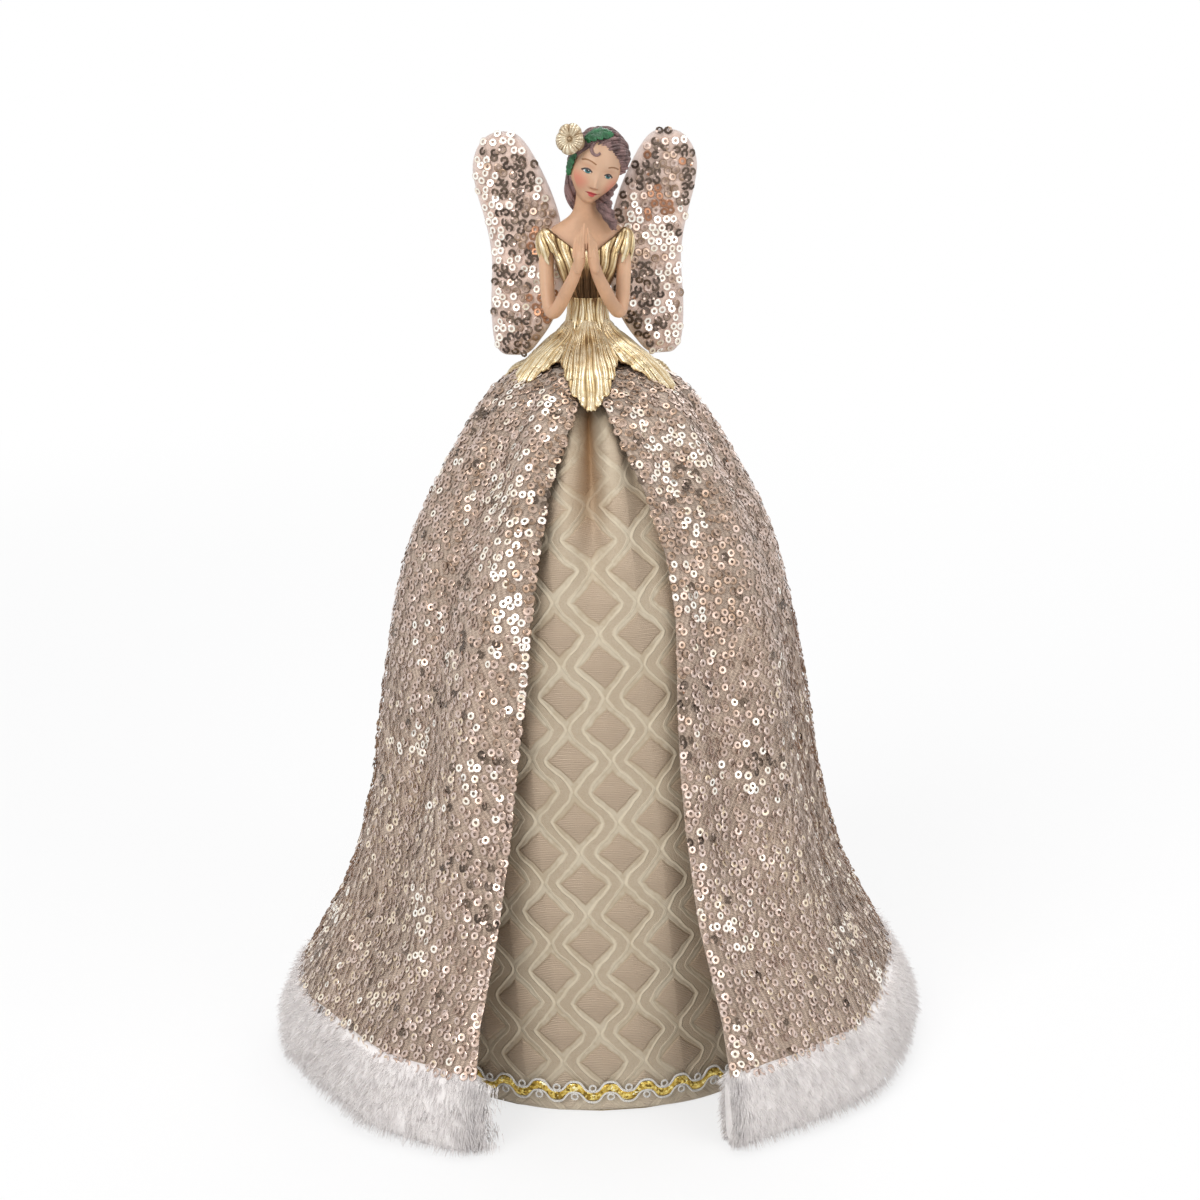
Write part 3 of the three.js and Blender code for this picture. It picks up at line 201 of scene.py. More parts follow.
def read_points(mesh):
    flat = np.empty(len(mesh.vertices) * 3)
    mesh.vertices.foreach_get("co", flat)
    return flat.reshape(-1, 3)


def write_points(mesh, points):
    mesh.vertices.foreach_set("co", np.asarray(points, float).ravel())
    mesh.update()


def shade_smooth(mesh, smooth=True):
    mesh.polygons.foreach_set("use_smooth", [smooth] * len(mesh.polygons))


def point_value(mesh, name, values):
    values = np.broadcast_to(np.asarray(values, float), len(mesh.vertices))
    mesh.attributes.new(name, "FLOAT", "POINT").data.foreach_set("value", values)


def close_up(mesh, gap=0.0, fill=False, outward=True):
    """Joins points nearer than the gap in metres, then fills holes and turns the faces outwards where asked."""
    bm = bmesh.new()
    bm.from_mesh(mesh)
    if gap:
        bmesh.ops.remove_doubles(bm, verts=bm.verts, dist=gap)
    if fill:
        bmesh.ops.holes_fill(bm, edges=[edge for edge in bm.edges if edge.is_boundary], sides=0)
    if outward:
        bmesh.ops.recalc_face_normals(bm, faces=bm.faces)
    bm.to_mesh(mesh)
    bm.free()


def sheet(name, columns, rows, place, closed=False, uv=None, values=None):
    """A grid laid where place(u, v) says, with u and v from 0 to 1, its own UV map and its own point values."""
    bm = bmesh.new()
    bm.loops.layers.uv.new("UVMap")
    bmesh.ops.create_grid(bm, x_segments=columns, y_segments=rows, size=0.5, calc_uvs=True)
    mesh = mesh_from(bm, name)
    grid = read_points(mesh)
    u, v = grid[:, 0] + 0.5, grid[:, 1] + 0.5
    write_points(mesh, place_mm(place(u, v)))
    if uv is not None:
        corner = np.empty(len(mesh.loops), int)
        mesh.loops.foreach_get("vertex_index", corner)
        flat = np.stack(uv(u, v), axis=-1)[corner]
        mesh.uv_layers[0].data.foreach_set("uv", flat.ravel())
    for label, value in (values or {}).items():
        point_value(mesh, label, value(u, v))
    if closed:
        close_up(mesh, 2e-6, outward=False)
    shade_smooth(mesh)
    return new_object(name, mesh)


def apply_modifiers(piece):
    bpy.context.view_layer.update()
    graph = bpy.context.evaluated_depsgraph_get()
    mesh = bpy.data.meshes.new_from_object(piece.evaluated_get(graph), preserve_all_data_layers=True, depsgraph=graph)
    piece.modifiers.clear()
    piece.data = mesh


def thicken(piece, thickness):
    """Gives a sheet its thickness in millimetres, half of it to each side."""
    wall = piece.modifiers.new("thickness", "SOLIDIFY")
    wall.thickness = thickness * MM
    wall.offset = 0.0
    wall.use_quality_normals = True
    apply_modifiers(piece)
    return piece


def tubes(name, paths, sides=6):
    """Round tubes along lists of (x, y, z, radius) in millimetres, joined in one mesh."""
    curve = bpy.data.curves.new(name, "CURVE")
    curve.dimensions = "3D"
    curve.bevel_depth = 1.0
    curve.bevel_resolution = max(sides // 2 - 2, 0)
    curve.use_fill_caps = True
    for path, closed in paths:
        path = np.asarray(path, float)
        spline = curve.splines.new("POLY")
        spline.points.add(len(path) - 1)
        spots = np.column_stack([place_mm(path[:, :3]), np.ones(len(path))])
        spline.points.foreach_set("co", spots.ravel())
        spline.points.foreach_set("radius", path[:, 3] * MM)
        spline.use_cyclic_u = closed
        spline.use_smooth = True
    holder = new_object(name, curve)
    bpy.context.view_layer.update()
    graph = bpy.context.evaluated_depsgraph_get()
    mesh = bpy.data.meshes.new_from_object(holder.evaluated_get(graph), depsgraph=graph)
    bpy.data.objects.remove(holder)
    bpy.data.curves.remove(curve)
    mesh.name = name
    shade_smooth(mesh)
    return new_object(name, mesh)


def join(name, pieces):
    """One mesh from several, which are removed."""
    bm = bmesh.new()
    for piece in pieces:
        bm.from_mesh(piece.data)
    mesh = mesh_from(bm, name)
    for piece in pieces:
        bpy.data.objects.remove(piece)
    shade_smooth(mesh)
    return new_object(name, mesh)


def fuse(piece, voxel):
    """One closed skin over overlapping forms, slightly smoothed where they meet."""
    remesh = piece.modifiers.new("fuse", "REMESH")
    remesh.mode = "VOXEL"
    remesh.voxel_size = voxel * MM
    soften = piece.modifiers.new("soften", "SMOOTH")
    soften.factor = 0.5
    soften.iterations = 1
    apply_modifiers(piece)
    shade_smooth(piece.data)
    return piece


def scatter(name, template, spots, turns, sizes, tones, smooth=True):
    """Copies of one small shape at many places, each with a turn and a size, and a tone for each copy or each face."""
    corners = read_points(template)
    faces = [list(face.vertices) for face in template.polygons]
    count, each = len(spots), len(corners)
    points = np.einsum("nij,mj->nmi", turns, corners) * np.asarray(sizes).reshape(-1, 1, 1) + spots[:, None, :]
    lengths = np.array([len(face) for face in faces])
    loops = np.concatenate([np.array(face) for face in faces])
    shift = np.arange(count) * each
    mesh = bpy.data.meshes.new(name)
    mesh.vertices.add(count * each)
    mesh.loops.add(count * len(loops))
    mesh.polygons.add(count * len(faces))
    mesh.vertices.foreach_set("co", place_mm(points.reshape(-1, 3)).ravel())
    mesh.loops.foreach_set("vertex_index", (loops[None, :] + shift[:, None]).ravel())
    starts = np.concatenate([[0], np.cumsum(np.tile(lengths, count))[:-1]])
    mesh.polygons.foreach_set("loop_start", starts)
    mesh.update(calc_edges=True)
    if np.ndim(tones) == 1:
        tones = np.repeat(tones, len(faces))
    mesh.attributes.new("tone", "FLOAT", "FACE").data.foreach_set("value", np.ravel(tones))
    shade_smooth(mesh, smooth)
    return new_object(name, mesh)


def turn_frames(normal, generator, tilt):
    """Turns that lay a flat shape on a surface, spun freely and tipped a little at random."""
    count = len(normal)
    normal = unit(normal + generator.normal(0, tilt, (count, 3)))
    side = unit(np.cross(normal, generator.normal(0, 1, (count, 3))))
    return np.stack([side, np.cross(normal, side), normal], axis=-1)


def field(points, generator, scale, count=24):
    """A smooth random value from 0 to 1 over space, from a few waves of one size."""
    total = np.zeros(len(points))
    for _ in range(count):
        way = generator.normal(0, 1, 3)
        way /= np.linalg.norm(way)
        total += np.sin(points @ way * 2 * math.pi / scale * generator.uniform(0.6, 1.5) + generator.uniform(0, 6.3))
    return 0.5 + 0.5 * np.tanh(total / math.sqrt(count))


# Materials


def linear(colour):
    values = [channel / 255 for channel in colour]
    return tuple(v / 12.92 if v <= 0.04045 else ((v + 0.055) / 1.055) ** 2.4 for v in values)


def tint(colour):
    return (*linear(colour), 1.0)


def opaque(colour, share=1.0):
    """A colour of the panel for a socket, darkened to a share of itself."""
    return (*[channel * share for channel in colour], 1.0)


def length_property(label, about, default):
    return bpy.props.FloatProperty(name=label, description=about, default=default * MM, min=0.0001, max=0.1,
                                   unit="LENGTH", precision=5)


def colour_property(label, about, colour):
    return bpy.props.FloatVectorProperty(name=label, description=about, default=linear(colour), size=3, min=0.0,
                                         max=1.0, subtype="COLOR")


class TopperSizes(bpy.types.PropertyGroup):
    """Sizes of the topper's repeated details."""

    sequin_width: length_property("Sequin width", "Outer width of a ring sequin", 3.14)
    sequin_step: length_property("Sequin step", "Distance between sequins along a row on the cape", 3.3)
    sequin_row: length_property("Sequin row", "Distance between rows of sequins on the cape", 2.9)
    diamond_width: length_property("Diamond spacing", "Half the width of the jacquard's pattern", 13.8)
    diamond_height: length_property("Diamond rise", "Half the height of the jacquard's pattern", 10.65)
    pile_length: length_property("Pile length", "Longest strand of the plush", 5.2)
    ribbon_width: length_property("Ribbon width", "Width of the glitter ribbon at the hem", 3.2)
    braid_waves: bpy.props.IntProperty(name="Braid waves", description="Waves of the hem ribbon round the skirt",
                                       default=40, min=8, max=80)


class TopperColours(bpy.types.PropertyGroup):
    """Main colours of the topper."""

    jacquard_light: colour_property("Jacquard light", "Lighter ground of the underskirt", (192, 179, 157))
    jacquard_dark: colour_property("Jacquard dark", "Darker ground of the underskirt", (178, 162, 138))
    skin: colour_property("Skin", "Painted skin of the figure", (204, 160, 126))
    hair: colour_property("Hair", "Painted hair", (150, 119, 116))
    leaf: colour_property("Leaf", "Green leaves in the hair", (32, 102, 58))
    petal: colour_property("Petal", "Cream flower in the hair", (190, 171, 142))
    gold_light: colour_property("Gold light", "Gold paint on the ridges", (196, 170, 124))
    # The gold's dark colour serves both its brown paint in the grooves and the painted shade there
    gold_dark: colour_property("Gold dark", "Brown wash in the gold's grooves", (122, 90, 56))
    wing_cloth: colour_property("Wing cloth", "Cloth of the wings under the sequins", (252, 224, 208))
    net: colour_property("Net", "Cloth of the cape under the sequins", (208, 185, 165))


def measures():
    return bpy.context.scene.topper_sizes


def palette():
    return bpy.context.scene.topper_colours


def connect(tree, sockets, inputs):
    """Links each socket to the output given for it, or sets its value."""
    for key, value in inputs.items():
        if isinstance(value, bpy.types.NodeSocket):
            tree.links.new(value, sockets[key])
        else:
            sockets[key].default_value = value


def add(tree, kind, inputs, **settings):
    node = tree.nodes.new(kind)
    for key, value in settings.items():
        setattr(node, key, value)
    connect(tree, node.inputs, inputs)
    return node.outputs


def calc(tree, operation, *values):
    return add(tree, "ShaderNodeMath", dict(enumerate(values)), operation=operation)[0]


def times(tree, first, second):
    return calc(tree, "MULTIPLY", first, second)


def scaled(tree, value, factor, plus):
    return calc(tree, "MULTIPLY_ADD", value, factor, plus)


def gap(tree, first, second):
    return calc(tree, "ABSOLUTE", calc(tree, "SUBTRACT", first, second))


def vector(tree, operation, first, second):
    return add(tree, "ShaderNodeVectorMath", {0: first, 1: second}, operation=operation)


def axes(tree, coordinates):
    return add(tree, "ShaderNodeSeparateXYZ", {0: coordinates})


def step(tree, value, low, high, first=0.0, second=1.0):
    values = {"Value": value, "From Min": low, "From Max": high, "To Min": first, "To Max": second}
    return add(tree, "ShaderNodeMapRange", values, interpolation_type="SMOOTHSTEP")[0]


def blend(tree, share, first, second):
    return add(tree, "ShaderNodeMix", {0: share, 6: first, 7: second}, data_type="RGBA")[2]


def layered(tree, colour, layers):
    """Paints layers over a colour in order, each with the share that it covers."""
    for share, paint in layers:
        colour = blend(tree, share, colour, tint(paint))
    return colour


def noise(tree, coordinates, scale, detail=2.0, roughness=0.5):
    values = {"Vector": coordinates, "Scale": scale, "Detail": detail, "Roughness": roughness}
    return add(tree, "ShaderNodeTexNoise", values)[0]


def bands(tree, coordinates, scale, distortion, detail=2.0, **settings):
    values = {"Vector": coordinates, "Scale": scale, "Distortion": distortion, "Detail": detail}
    return add(tree, "ShaderNodeTexWave", values, **settings)[1]


def tone_ramp(tree, value, stops):
    ramp = add(tree, "ShaderNodeValToRGB", {0: value})[0]
    colours = ramp.node.color_ramp
    while len(colours.elements) < len(stops):
        colours.elements.new(0.5)
    for element, (place, colour) in zip(colours.elements, stops):
        element.position = place
        element.color = tint(colour)
    return ramp


def own_value(tree, name):
    return add(tree, "ShaderNodeAttribute", {}, attribute_name=name, attribute_type="GEOMETRY")["Fac"]


def bump(tree, inputs, height, distance):
    """Fine relief, its depth in millimetres."""
    connect(tree, inputs, {"Normal": add(tree, "ShaderNodeBump", {"Height": height, "Distance": distance * MM})[0]})


def socket_kind(value):
    """The kind of socket that takes a value: three numbers are a vector and four a colour."""
    kinds = {"VALUE": "Float", "VECTOR": "Vector", "RGBA": "Color", 1: "Float", 3: "Vector", 4: "Color"}
    return "NodeSocket" + kinds[value.type if isinstance(value, bpy.types.NodeSocket) else np.size(value)]


def use_group(tree, maker, **inputs):
    """A node of the group that maker(tree, given) lays out the first time, and its outputs by name."""
    group = bpy.data.node_groups.get(maker.__name__)
    if not group:
        group = bpy.data.node_groups.new(maker.__name__, "ShaderNodeTree")
        for label, value in inputs.items():
            group.interface.new_socket(label, in_out="INPUT", socket_type=socket_kind(value))
        made = maker(group, group.nodes.new("NodeGroupInput").outputs)
        for label, socket in made.items():
            group.interface.new_socket(label, in_out="OUTPUT", socket_type=socket_kind(socket))
        connect(group, group.nodes.new("NodeGroupOutput").inputs, made)
    return add(tree, "ShaderNodeGroup", inputs, node_tree=group)


def mottle(tree, given):
    """Two colours that drift into each other, with a finer speckle on top."""
    broad = noise(tree, given["Coordinates"], given["Scale"], 3.0)
    fine = noise(tree, given["Coordinates"], times(tree, given["Scale"], 9.0))
    speckled = scaled(tree, calc(tree, "SUBTRACT", fine, 0.5), given["Speckle"], broad)
    mask = step(tree, speckled, 0.36, 0.64)
    return {"Colour": blend(tree, mask, given["First"], given["Second"]), "Mask": mask}


def drifting(tree, spots, light, scale, dark, speckle):
    """A colour that drifts towards a darker share of itself."""
    return use_group(tree, mottle, Coordinates=spots["Object"], Scale=scale, First=opaque(light, dark),
                     Second=opaque(light), Speckle=speckle)


def woven(tree, given):
    """Plain weave on UV coordinates in millimetres."""
    turn = calc(tree, "DIVIDE", math.pi, given["Thread"])
    over, under = [calc(tree, "SINE", times(tree, part, turn)) for part in axes(tree, given["Coordinates"])[:2]]
    thread = calc(tree, "MAXIMUM", calc(tree, "ABSOLUTE", over), calc(tree, "ABSOLUTE", under))
    return {"Height": scaled(tree, times(tree, over, under), 0.3, thread)}


# Width and height of the jacquard's drawn pattern, which the panel's spacing stretches, and where a diamond's edge lies
DIAMOND = (12.8, 10.1)
DIAMOND_EDGE = 7.1


def jacquard(tree, given):
    """Puffed diamonds between waving raised outlines, on UV coordinates in millimetres."""
    parts = axes(tree, given["Coordinates"])
    wobble = noise(tree, given["Coordinates"], 0.16, 1.0)
    across = scaled(tree, calc(tree, "SUBTRACT", wobble, 0.5), 2.4, parts[0])
    x, flat = [times(tree, calc(tree, "PINGPONG", value, given[label]), calc(tree, "DIVIDE", size, given[label]))
               for value, label, size in ((across, "Column", DIAMOND[0]), (parts[1], "Row", DIAMOND[1]))]
    wave = calc(tree, "COSINE", times(tree, flat, math.pi / DIAMOND[1]))
    rounded = scaled(tree, wave, -5.05, 5.05)
    y = calc(tree, "ADD", times(tree, flat, 0.45), times(tree, rounded, 0.55))
    slant = scaled(tree, y, 0.743, x)
    nearest = calc(tree, "MINIMUM", gap(tree, slant, 8.1), gap(tree, slant, 12.2))
    second = scaled(tree, calc(tree, "SUBTRACT", DIAMOND[1], flat), 1.02, calc(tree, "SUBTRACT", DIAMOND[0], x))
    inside = calc(tree, "SMOOTH_MIN", scaled(tree, flat, 1.02, x), second, 0.6)
    rib = calc(tree, "SINE", times(tree, parts[1], 2 * math.pi / 0.62))
    return {"Diamond": step(tree, inside, DIAMOND_EDGE, 6.5), "Outline": step(tree, nearest, 0.8, 0.2),
            "Band": step(tree, gap(tree, slant, 10.15), 2.3, 1.7), "Rib": scaled(tree, rib, 0.5, 0.5),
            "Edge": step(tree, gap(tree, inside, 6.9), 0.8, 0.1)}


def glitter(tree, given):
    """Small flat grains, each with a tone of its own."""
    cells = add(tree, "ShaderNodeTexVoronoi", {"Vector": given["Coordinates"], "Scale": given["Scale"]})
    tone = add(tree, "ShaderNodeSeparateColor", {0: cells["Color"]})
    return {"Tone": tone[0], "Height": scaled(tree, cells["Distance"], -0.6, tone[1])}


def painted_relief(tree, given):
    """Metallic paint with a painted highlight on the ridges, washed dark in the low places, partly with brown paint and
    partly with painted shade.
    """
    brushed = noise(tree, given["Coordinates"], given["Scale"], 4.0, 0.6)
    uneven = scaled(tree, calc(tree, "SUBTRACT", brushed, 0.5), 0.8, given["Groove"])
    # Painted highlight on the ridges
    bright = blend(tree, times(tree, step(tree, uneven, 0.26, -0.06), 0.55), given["High"], tint((250, 242, 216)))
    # The low places darken, partly brown paint and partly painted shade
    middle = blend(tree, step(tree, uneven, 0.22, 0.72), bright, given["Low"])
    deep = blend(tree, times(tree, step(tree, uneven, 0.72, 1.05), 0.65), middle, tint((62, 44, 26)))
    return {"Colour": deep, "Roughness": step(tree, uneven, 0.1, 1.0, 0.26, 0.62), "Height": brushed}


def painted_spot(tree, given):
    """A soft-edged painted ellipse in the face's plane."""
    away = vector(tree, "SUBTRACT", given["Coordinates"], given["Place"])[0]
    turned = add(tree, "ShaderNodeVectorRotate", {"Vector": away, "Angle": given["Turn"]}, rotation_type="Y_AXIS")
    parts = axes(tree, turned[0])
    wide, high = [calc(tree, "POWER", calc(tree, "ABSOLUTE", calc(tree, "DIVIDE", part, given[label])), 2.0)
                  for part, label in ((parts[0], "Wide"), (parts[2], "High"))]
    reach = calc(tree, "SQRT", calc(tree, "ADD", wide, high))
    edge = step(tree, reach, calc(tree, "ADD", given["Softness"], 1.0), calc(tree, "SUBTRACT", 1.0, given["Softness"]))
    return {"Mask": times(tree, edge, calc(tree, "LESS_THAN", parts[1], 4.0))}


def painted_line(tree, given):
    """A thin painted arc through three points in the face's plane."""
    flat = vector(tree, "MULTIPLY", given["Coordinates"], (1.0, 0.0, 1.0))[0]
    start, bend, end = given["From"], given["Bend"], given["To"]
    middle = vector(tree, "MULTIPLY", vector(tree, "ADD", start, end)[0], (0.25, 0.25, 0.25))[0]
    top = vector(tree, "ADD", middle, vector(tree, "MULTIPLY", bend, (0.5, 0.5, 0.5))[0])[0]

    def between(first, second):
        return add(tree, "ShaderNodeMix", {0: 0.5, 4: first, 5: second}, data_type="VECTOR")[1]

    first, second = between(start, bend), between(bend, end)
    quarter = between(between(start, first), between(first, top))
    third = between(between(top, second), between(second, end))
    stops = [start, quarter, top, third, end]
    gaps = []
    for here, there in zip(stops, stops[1:]):
        line, away = vector(tree, "SUBTRACT", there, here)[0], vector(tree, "SUBTRACT", flat, here)[0]
        dot, size = [vector(tree, "DOT_PRODUCT", way, line)["Value"] for way in (away, line)]
        share = add(tree, "ShaderNodeClamp", {0: calc(tree, "DIVIDE", dot, size)})[0]
        reach = add(tree, "ShaderNodeVectorMath", {0: line, "Scale": share}, operation="SCALE")[0]
        gaps.append(vector(tree, "DISTANCE", away, reach)["Value"])
    nearest = calc(tree, "MINIMUM", calc(tree, "MINIMUM", *gaps[:2]), calc(tree, "MINIMUM", *gaps[2:]))
    edge = step(tree, calc(tree, "DIVIDE", nearest, given["Wide"]), 1.3, 0.6)
    return {"Mask": times(tree, edge, calc(tree, "LESS_THAN", axes(tree, given["Coordinates"])[1], -3.0))}


# Each material's maker below wires whatever relief and roughness it has, and returns its colour


def jacquard_cloth(tree, inputs, spots):
    form = use_group(tree, jacquard, Coordinates=spots["UV"], Column=measures().diamond_width / MM,
                     Row=measures().diamond_height / MM)
    plain = scaled(tree, own_value(tree, "gathered"), -0.7, 1.0)
    band, diamond, outlines, edge = [times(tree, form[label], plain)
                                     for label in ("Band", "Diamond", "Outline", "Edge")]
    ground = use_group(tree, mottle, Coordinates=spots["UV"], Scale=0.05, First=opaque(palette().jacquard_dark),
                       Second=opaque(palette().jacquard_light), Speckle=0.5)["Colour"]
    grain = noise(tree, spots["UV"], 1.7, 3.0)
    ribs = times(tree, form["Rib"], diamond)
    shine = scaled(tree, diamond, -0.14, 0.56)
    connect(tree, inputs, {"Roughness": scaled(tree, outlines, 0.2, shine)})
    thread = use_group(tree, woven, Coordinates=spots["UV"], Thread=0.42)["Height"]
    raised = scaled(tree, outlines, 0.5, times(tree, band, 0.2))
    for value, height in ((ribs, 0.3), (thread, 0.15), (times(tree, grain, band), 0.5), (edge, -0.3)):
        raised = scaled(tree, value, height, raised)
    bump(tree, inputs, raised, 0.36)
    return layered(tree, ground, (
        (times(tree, band, 0.7), (174, 157, 135)),
        (times(tree, step(tree, grain, 0.45, 0.62), times(tree, band, 0.3)), (164, 146, 120)),
        (diamond, (173, 153, 131)),
        (times(tree, ribs, 0.34), (156, 136, 112)),
        (times(tree, outlines, 0.6), (220, 208, 184)),
        # Painted shade in the groove round each diamond
        (times(tree, edge, 0.36), (148, 124, 94)),
        # Painted shade in the front tuck, the gathers and beside the cape's edges
        (own_value(tree, "shade"), (140, 102, 60)),
        (step(tree, axes(tree, spots["UV"])[1], 24.0, 6.0, 0.0, 0.55), (206, 192, 170)),
    ))


def sequin_foil(tree, inputs, spots):
    # The ramp runs from the dark of a painted dark reflection, through copper and rose, to the white of a painted
    # bright reflection
    return tone_ramp(tree, own_value(tree, "tone"), [
        (0.0, (76, 64, 56)), (0.1, (110, 94, 80)), (0.125, (158, 112, 84)), (0.15, (136, 112, 92)),
        (0.28, (168, 144, 126)), (0.42, (190, 166, 151)), (0.56, (206, 184, 172)), (0.7, (216, 198, 190)),
        (0.78, (222, 202, 172)), (0.84, (246, 234, 212)), (0.92, (252, 248, 236)), (1.0, (255, 254, 246))])


def net_cloth(tree, inputs, spots):
    mesh = use_group(tree, woven, Coordinates=spots["UV"], Thread=0.9)["Height"]
    bump(tree, inputs, mesh, 0.3)
    base = drifting(tree, spots, palette().net, 50.0, 0.82, 0.4)["Colour"]
    return blend(tree, step(tree, mesh, 0.7, 1.2, 0.0, 0.5), base, tint((128, 106, 90)))


def plush_pile(tree, inputs, spots):
    pile = noise(tree, spots["Object"], 260.0, 3.0)
    bump(tree, inputs, pile, 0.6)
    shaded = blend(tree, step(tree, pile, 0.3, 0.7), tint((236, 230, 228)), tint((252, 247, 244)))
    return blend(tree, times(tree, own_value(tree, "tone"), 0.25), shaded, tint((210, 206, 206)))


def gold_glitter(tree, inputs, spots):
    grains = use_group(tree, glitter, Coordinates=spots["Object"], Scale=1150.0)
    connect(tree, inputs, {"Roughness": scaled(tree, grains["Tone"], -0.25, 0.45)})
    bump(tree, inputs, grains["Height"], 0.3)
    return tone_ramp(tree, grains["Tone"], [(0.0, (104, 80, 20)), (0.3, (190, 154, 60)), (0.6, (212, 184, 96)),
                                            (0.92, (246, 224, 132)), (1.0, (255, 250, 214))])


def twisted_cord(tree, inputs, spots):
    threads = bands(tree, spots["Object"], 900.0, 1.5, wave_type="BANDS", bands_direction="DIAGONAL")
    bump(tree, inputs, threads, 0.2)
    return blend(tree, threads, tint((224, 219, 212)), tint((255, 253, 248)))


def grey_card(tree, inputs, spots):
    base = use_group(tree, mottle, Coordinates=spots["Object"], Scale=120.0, First=tint((178, 160, 130)),
                     Second=tint((200, 184, 156)), Speckle=0.8)
    bump(tree, inputs, base["Mask"], 0.15)
    return base["Colour"]


def turned_wood(tree, inputs, spots):
    stretched = add(tree, "ShaderNodeMapping", {0: spots["Object"], "Scale": (1.0, 1.0, 0.12)})[0]
    grain = bands(tree, stretched, 220.0, 6.0, 3.0, wave_type="RINGS", rings_direction="Z")
    bump(tree, inputs, grain, 0.1)
    return blend(tree, grain, tint((186, 146, 98)), tint((216, 184, 138)))


def soft_wadding(tree, inputs, spots):
    fluff = noise(tree, spots["Object"], 180.0, 6.0, 0.7)
    bump(tree, inputs, fluff, 1.5)
    return blend(tree, fluff, tint((222, 218, 208)), tint((252, 250, 246)))


def drawn_wire(tree, inputs, spots):
    marks = noise(tree, spots["Object"], 500.0, 4.0)
    connect(tree, inputs, {"Roughness": scaled(tree, marks, 0.3, 0.25)})
    return blend(tree, marks, tint((120, 120, 116)), tint((172, 172, 168)))


def relief_paint(tree, inputs, spots, high, low):
    """Metallic paint with a painted highlight on its ridges, washed dark in the grooves, partly with brown paint and
    partly with painted shade, whose depth each point of the mesh carries.
    """
    paint = use_group(tree, painted_relief, Coordinates=spots["Object"], Groove=own_value(tree, "groove"),
                      High=opaque(high), Low=opaque(low), Scale=320.0)
    connect(tree, inputs, {"Roughness": paint["Roughness"]})
    bump(tree, inputs, paint["Height"], 0.08)
    return paint["Colour"]


def gold_paint(tree, inputs, spots):
    return relief_paint(tree, inputs, spots, palette().gold_light, palette().gold_dark)


def painted_petal(tree, inputs, spots):
    return relief_paint(tree, inputs, spots, palette().petal, linear((140, 112, 78)))


# Paint on the face, with painted shade under the nose, over the upper lids and under the lower lip, and a painted
# highlight in each eye: place x and z, half width, half height, turn in degrees, softness, colour, strength
FACE_PAINT = [
    ((0.3, 3.0), 9.5, 9.5, 0, 0.6, (206, 170, 142), 0.75),
    ((-6.0, -5.2), 2.9, 2.7, 0, 0.8, (214, 100, 82), 0.52),
    ((6.9, -5.0), 2.6, 3.0, 0, 0.8, (214, 104, 86), 0.58),
    # Painted shade under the nose
    ((0.0, -6.1), 1.8, 0.45, 0, 0.6, (160, 98, 70), 0.35),
    # Painted shade over the upper lids, where the sockets lie deep
    ((-3.75, 0.55), 2.2, 0.8, 0, 0.7, (178, 122, 92), 0.35),
    ((3.9, 0.45), 2.1, 0.8, 0, 0.7, (178, 122, 92), 0.35),
    # Painted shade under the lower lip
    ((0.1, -10.1), 1.7, 0.5, 0, 0.7, (168, 112, 84), 0.35),
    ((-3.7, -1.05), 1.22, 0.62, 0, 0.14, (226, 226, 222), 1.0),
    ((3.8, -1.05), 1.12, 0.6, 0, 0.14, (226, 226, 222), 1.0),
    ((-3.55, -0.95), 0.94, 0.84, 0, 0.16, (30, 112, 112), 1.0),
    ((3.75, -0.95), 0.9, 0.82, 0, 0.16, (30, 112, 112), 1.0),
    ((-3.53, -0.72), 0.68, 0.6, 0, 0.2, (14, 22, 26), 1.0),
    ((3.77, -0.72), 0.66, 0.6, 0, 0.2, (14, 22, 26), 1.0),
    # A painted highlight in each eye
    ((-3.28, -0.6), 0.15, 0.15, 0, 0.3, (250, 250, 250), 1.0),
    ((4.06, -0.6), 0.15, 0.15, 0, 0.3, (250, 250, 250), 1.0),
    ((-0.7, -7.85), 1.2, 0.38, 6, 0.25, (170, 46, 48), 1.0),
    ((0.75, -7.9), 1.2, 0.38, -6, 0.25, (170, 46, 48), 1.0),
    ((0.05, -8.5), 1.2, 0.54, 0, 0.28, (184, 70, 66), 1.0),
]

# Painted lines on the face, and painted shade in the nostrils: from, by way of and to, as x and z, then half width,
# colour and strength
FACE_LINES = [
    ((-6.1, 2.0), (-4.6, 3.3), (-1.6, 2.0), 0.27, (132, 86, 44), 0.9),
    ((3.1, 2.0), (4.9, 2.8), (6.9, 1.7), 0.26, (132, 86, 44), 0.9),
    ((-5.4, -1.1), (-3.75, 0.5), (-2.2, -0.85), 0.3, (40, 26, 24), 1.0),
    ((2.5, -0.8), (3.8, 0.46), (5.3, -1.15), 0.29, (40, 26, 24), 1.0),
    ((-5.3, -1.35), (-3.8, -2.05), (-2.1, -1.45), 0.1, (120, 76, 60), 0.6),
    ((2.5, -1.45), (3.9, -2.05), (5.3, -1.4), 0.1, (120, 76, 60), 0.6),
    ((-2.1, -7.95), (0.1, -8.45), (2.9, -7.7), 0.13, (120, 30, 36), 0.85),
    # Painted shade in the nostrils
    ((-1.2, -5.9), (-0.7, -6.15), (-0.3, -5.95), 0.16, (150, 84, 62), 0.6),
    ((0.4, -5.95), (0.8, -6.15), (1.3, -5.9), 0.16, (150, 84, 62), 0.6),
]


def skin_base(tree, inputs, spots):
    bump(tree, inputs, noise(tree, spots["Object"], 900.0), 0.04)
    return drifting(tree, spots, palette().skin, 130.0, 0.86, 0.2)["Colour"]


